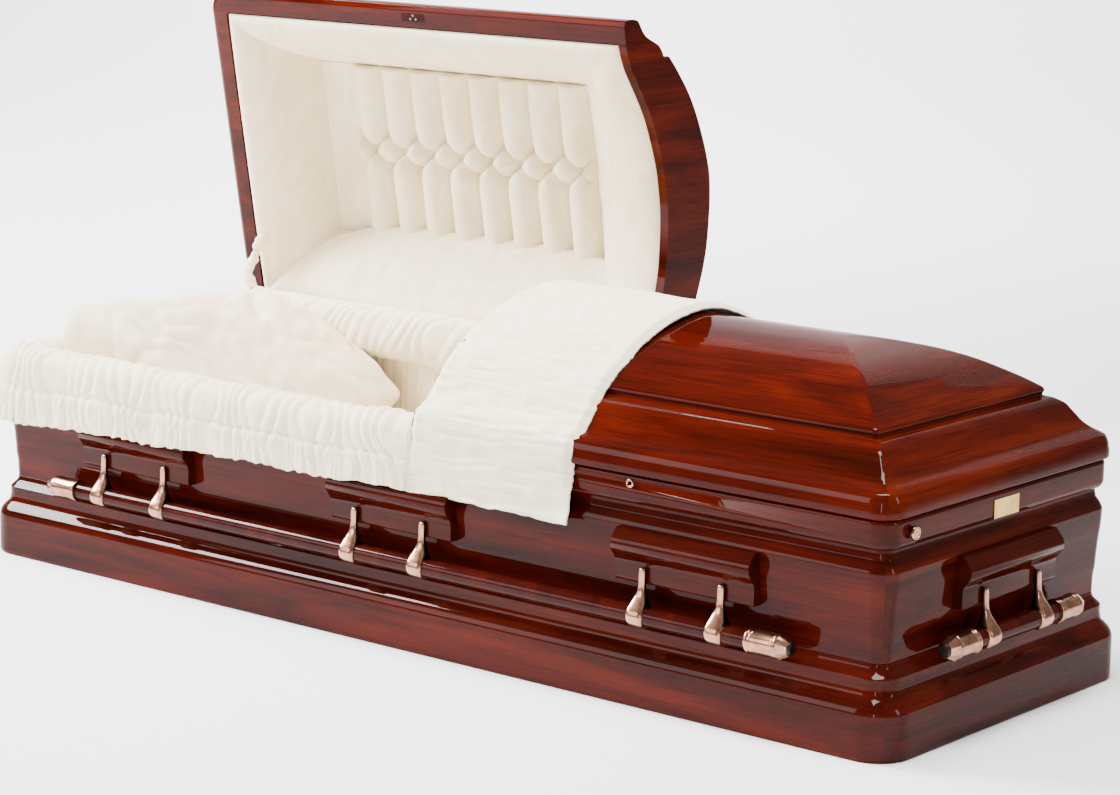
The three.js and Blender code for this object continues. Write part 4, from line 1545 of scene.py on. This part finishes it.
@dataclass(frozen=True)
class Fittings:
    """Key escutcheon, lock knob, name plate, latch and hinges.

    Args:
        ring: the escutcheon's section, as (radius, height, rounding).
        knob: the lock knob's section.
        screw: the section of a screw of the latch.
        screws: x and y of each screw from the middle of the latch.
        sheet: the flat CAD nodes that take a finish as they are.
    """

    ring: tuple = (
        (3.7, 0, 0.3), (8, 0, 0.4), (8, 1.2, 0.8), (6.8, 2.4, 0.8), (5.2, 2.4, 0.6), (3.7, 1.6, 0.4),
        (3.7, 0),
    )
    knob: tuple = (
        (0, 0.3), (6.5, 0.3, 0.5), (6.5, 3.5, 0.5), (10.5, 4, 0.6), (11.5, 5.4, 0.6), (11.5, 10, 0.8),
        (10, 11.6, 0.6), (8.6, 11.6, 0.3), (8.2, 10.6, 0.3), (2.4, 10.6, 0.4), (1.8, 11.4, 0.4), (0, 11.4),
    )
    screw: tuple = ((0, 0), (2.6, 0, 0.1), (2.6, 0.2, 0.1), (1.2, 0.45), (0, 0.5))
    screws: tuple = ((-7, 3), (0, -4), (7, 3))
    sheet: tuple = (
        ("name_plate", Finish.BRASS), ("latch_insert", Finish.SIDE_WOOD),
        ("head_lid_hinge_moving", Finish.STEEL), ("head_lid_hinge_fixed", Finish.STEEL),
        ("foot_lid_hinge_moving", Finish.STEEL), ("foot_lid_hinge_fixed", Finish.STEEL),
    )

    def build(self, nodes: dict[str, bpy.types.Object]) -> None:
        """Makes the turned pieces and gives the flat ones their finish.

        Args:
            nodes: the CAD nodes by name.
        """
        x, z = Body().key[:2]
        piece("key_ring", lathe("escutcheon", self.ring, Finish.COPPER, 40, 0.6), "casket", "key_escutcheon",
              place=at(x, FRONT_FACE - 0.3, z, 90, "X"))
        piece("lock_knob", lathe("knob", self.knob, Finish.COPPER, 40, 0.8), "casket", "lock_plug",
              place=at(PLAN.length / 2 - 26, -276, 358, 90, "Y"))
        head = lathe("latch_screw", self.screw, Finish.STEEL, 20, 0.4)
        for i, (dx, dy) in enumerate(self.screws):
            piece(f"latch_screw_{i + 1}", head, "head_lid",
                  place=Hinge().opened() @ at(dx - 480, dy - 321, 380.7, 180, "X"))
        for name, finish in self.sheet:
            node = nodes[name]
            node.data.materials.clear()
            node.data.materials.append(material(finish))
            if "hinge" not in name:
                soft = node.modifiers.new("eased", "BEVEL")
                soft.width = 0.3 * MM
                soft.segments = 2


# Studio

@dataclass(frozen=True)
class Studio:
    """Floor, light and camera, in metres.

    Args:
        eye: the camera's place.
        yaw: how far it looks to the left of +Y, in degrees.
        pitch: how far it looks down.
        roll: how far it is turned about its own axis.
        lens: its focal length in millimetres, for a sensor 36 mm wide.
        lamps: name, place, aim, size and watts of each light.
    """

    eye: tuple[float, float, float] = (3.7036, -4.3771, 1.5094)
    yaw: float = 39.53
    pitch: float = 11.01
    roll: float = -0.81
    lens: float = 103.57
    lamps: tuple = (
        ("key_left", (-5.2, -1.4, 3.8), (-0.2, 0, 0.4), (2.6, 2.6), 1700),
        ("overhead", (0.9, -0.4, 4.3), (0.1, 0.0, 0.3), (2.0, 2.0), 470),
        ("front_fill", (-4.2, -6.0, 3.0), (-0.2, 0, 0.4), (3.6, 2.6), 190),
        ("corner_strip", (3.4, -5.2, 1.3), (1.0, -0.3, 0.4), (0.3, 2.0), 34),
        ("side_strip", (6.0, 0.6, 2.4), (0.8, 0, 0.3), (0.8, 2.2), 60),
        ("backdrop_wash", (-3.0, 3.5, 4.5), (-6.5, 8.5, 1.0), (4.0, 1.5), 1100),
    )

    def floor(self) -> None:
        """A pale floor that runs up behind."""
        size = 30.0
        # knots close together keep the curve flat until it rises
        knots = np.array([(-size, 0.0), (3.0, 0.0), (4.5, 0.0), (6.0, 0.0), (8.5, 0.6), (10.0, 2.2),
                          (10.6, 4.0), (10.6, 9.0)])
        curve = catmull(knots, 0.4)
        grid = np.stack([standing(x, curve) for x in (-size, size)])
        data = Surface("floor", (), 180).patch(grid / MM).mesh()
        paint = bpy.data.materials.new("matt_white_painted_floor")
        paint.use_nodes = True
        surface = paint.node_tree.nodes["Principled BSDF"]
        surface.inputs["Base Color"].default_value = linear("#f4f4f4")
        surface.inputs["Roughness"].default_value = 0.95
        surface.inputs["Specular IOR Level"].default_value = 0.1
        data.materials.append(paint)
        ground = bpy.data.objects.new("floor", data)
        ground.rotation_euler.z = math.radians(self.yaw)
        bpy.context.scene.collection.objects.link(ground)
        ground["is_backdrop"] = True

    def lamp(self, name: str, place: tuple[float, ...], aim: tuple[float, ...], size: tuple[float, float],
             watts: float) -> None:
        """Adds a rectangular soft light.

        Args:
            name: its name.
            place: where it hangs.
            aim: the point it is turned to.
            size: its width and height.
            watts: its power.
        """
        light = bpy.data.lights.new(name, "AREA")
        light.shape = "RECTANGLE"
        light.size, light.size_y = size
        light.energy = watts
        lamp = bpy.data.objects.new(name, light)
        lamp.location = place
        lamp.rotation_euler = (Vector(aim) - Vector(place)).to_track_quat("-Z", "Y").to_euler()
        bpy.context.scene.collection.objects.link(lamp)

    def build(self) -> None:
        """Sets the floor, lights and camera."""
        self.floor()
        world = bpy.data.worlds.new("studio")
        world.use_nodes = True
        back = world.node_tree.nodes["Background"]
        back.inputs["Color"].default_value = linear("#ebe6dd")
        back.inputs["Strength"].default_value = 0.5
        bpy.context.scene.world = world
        for lamp in self.lamps:
            self.lamp(*lamp)
        camera = bpy.data.cameras.new("camera")
        camera.lens = self.lens
        camera.sensor_width = 36
        eye = bpy.data.objects.new("camera", camera)
        eye.matrix_world = Matrix.Translation(self.eye)
        for degrees, axis in ((self.yaw, "Z"), (90 - self.pitch, "X"), (-self.roll, "Z")):
            eye.matrix_world = eye.matrix_world @ Matrix.Rotation(math.radians(degrees), 4, axis)
        bpy.context.scene.collection.objects.link(eye)
        bpy.context.scene.camera = eye


def write_size(name: str, sizes: dict[str, list]) -> None:
    """Notes the bounds of what the scene shows.

    Args:
        name: what they are noted under.
        sizes: all bounds so far, which this adds to.
    """
    low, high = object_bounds()
    sizes[name] = [[float(c) for c in low], [float(c) for c in high]]


def main() -> None:
    """Builds every piece of the casket and the studio round it."""
    logging.basicConfig(level=logging.INFO, format="%(message)s")
    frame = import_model()
    sizes: dict[str, list] = {}
    write_size("loaded", sizes)
    Body().build()
    Lid(foot=True, header=45.0).build()
    Lid(foot=False, header=41.0).build(place=Hinge().opened())
    Handles().build()
    Fittings().build(frame["nodes"])
    BoxBedding().build()
    Extendover().build()
    Throw().build()
    LidLining(False, (-990.0, 21.0), (-877.0, -172.0), (186.0, 545.0)).build()
    LidLining(True, (65.0, 990.0), (230.0, 880.0), (186.0, 540.0)).build()
    StayCover().build()
    Studio().build()
    write_size("finished", sizes)


if __name__ == "__main__":
    main()
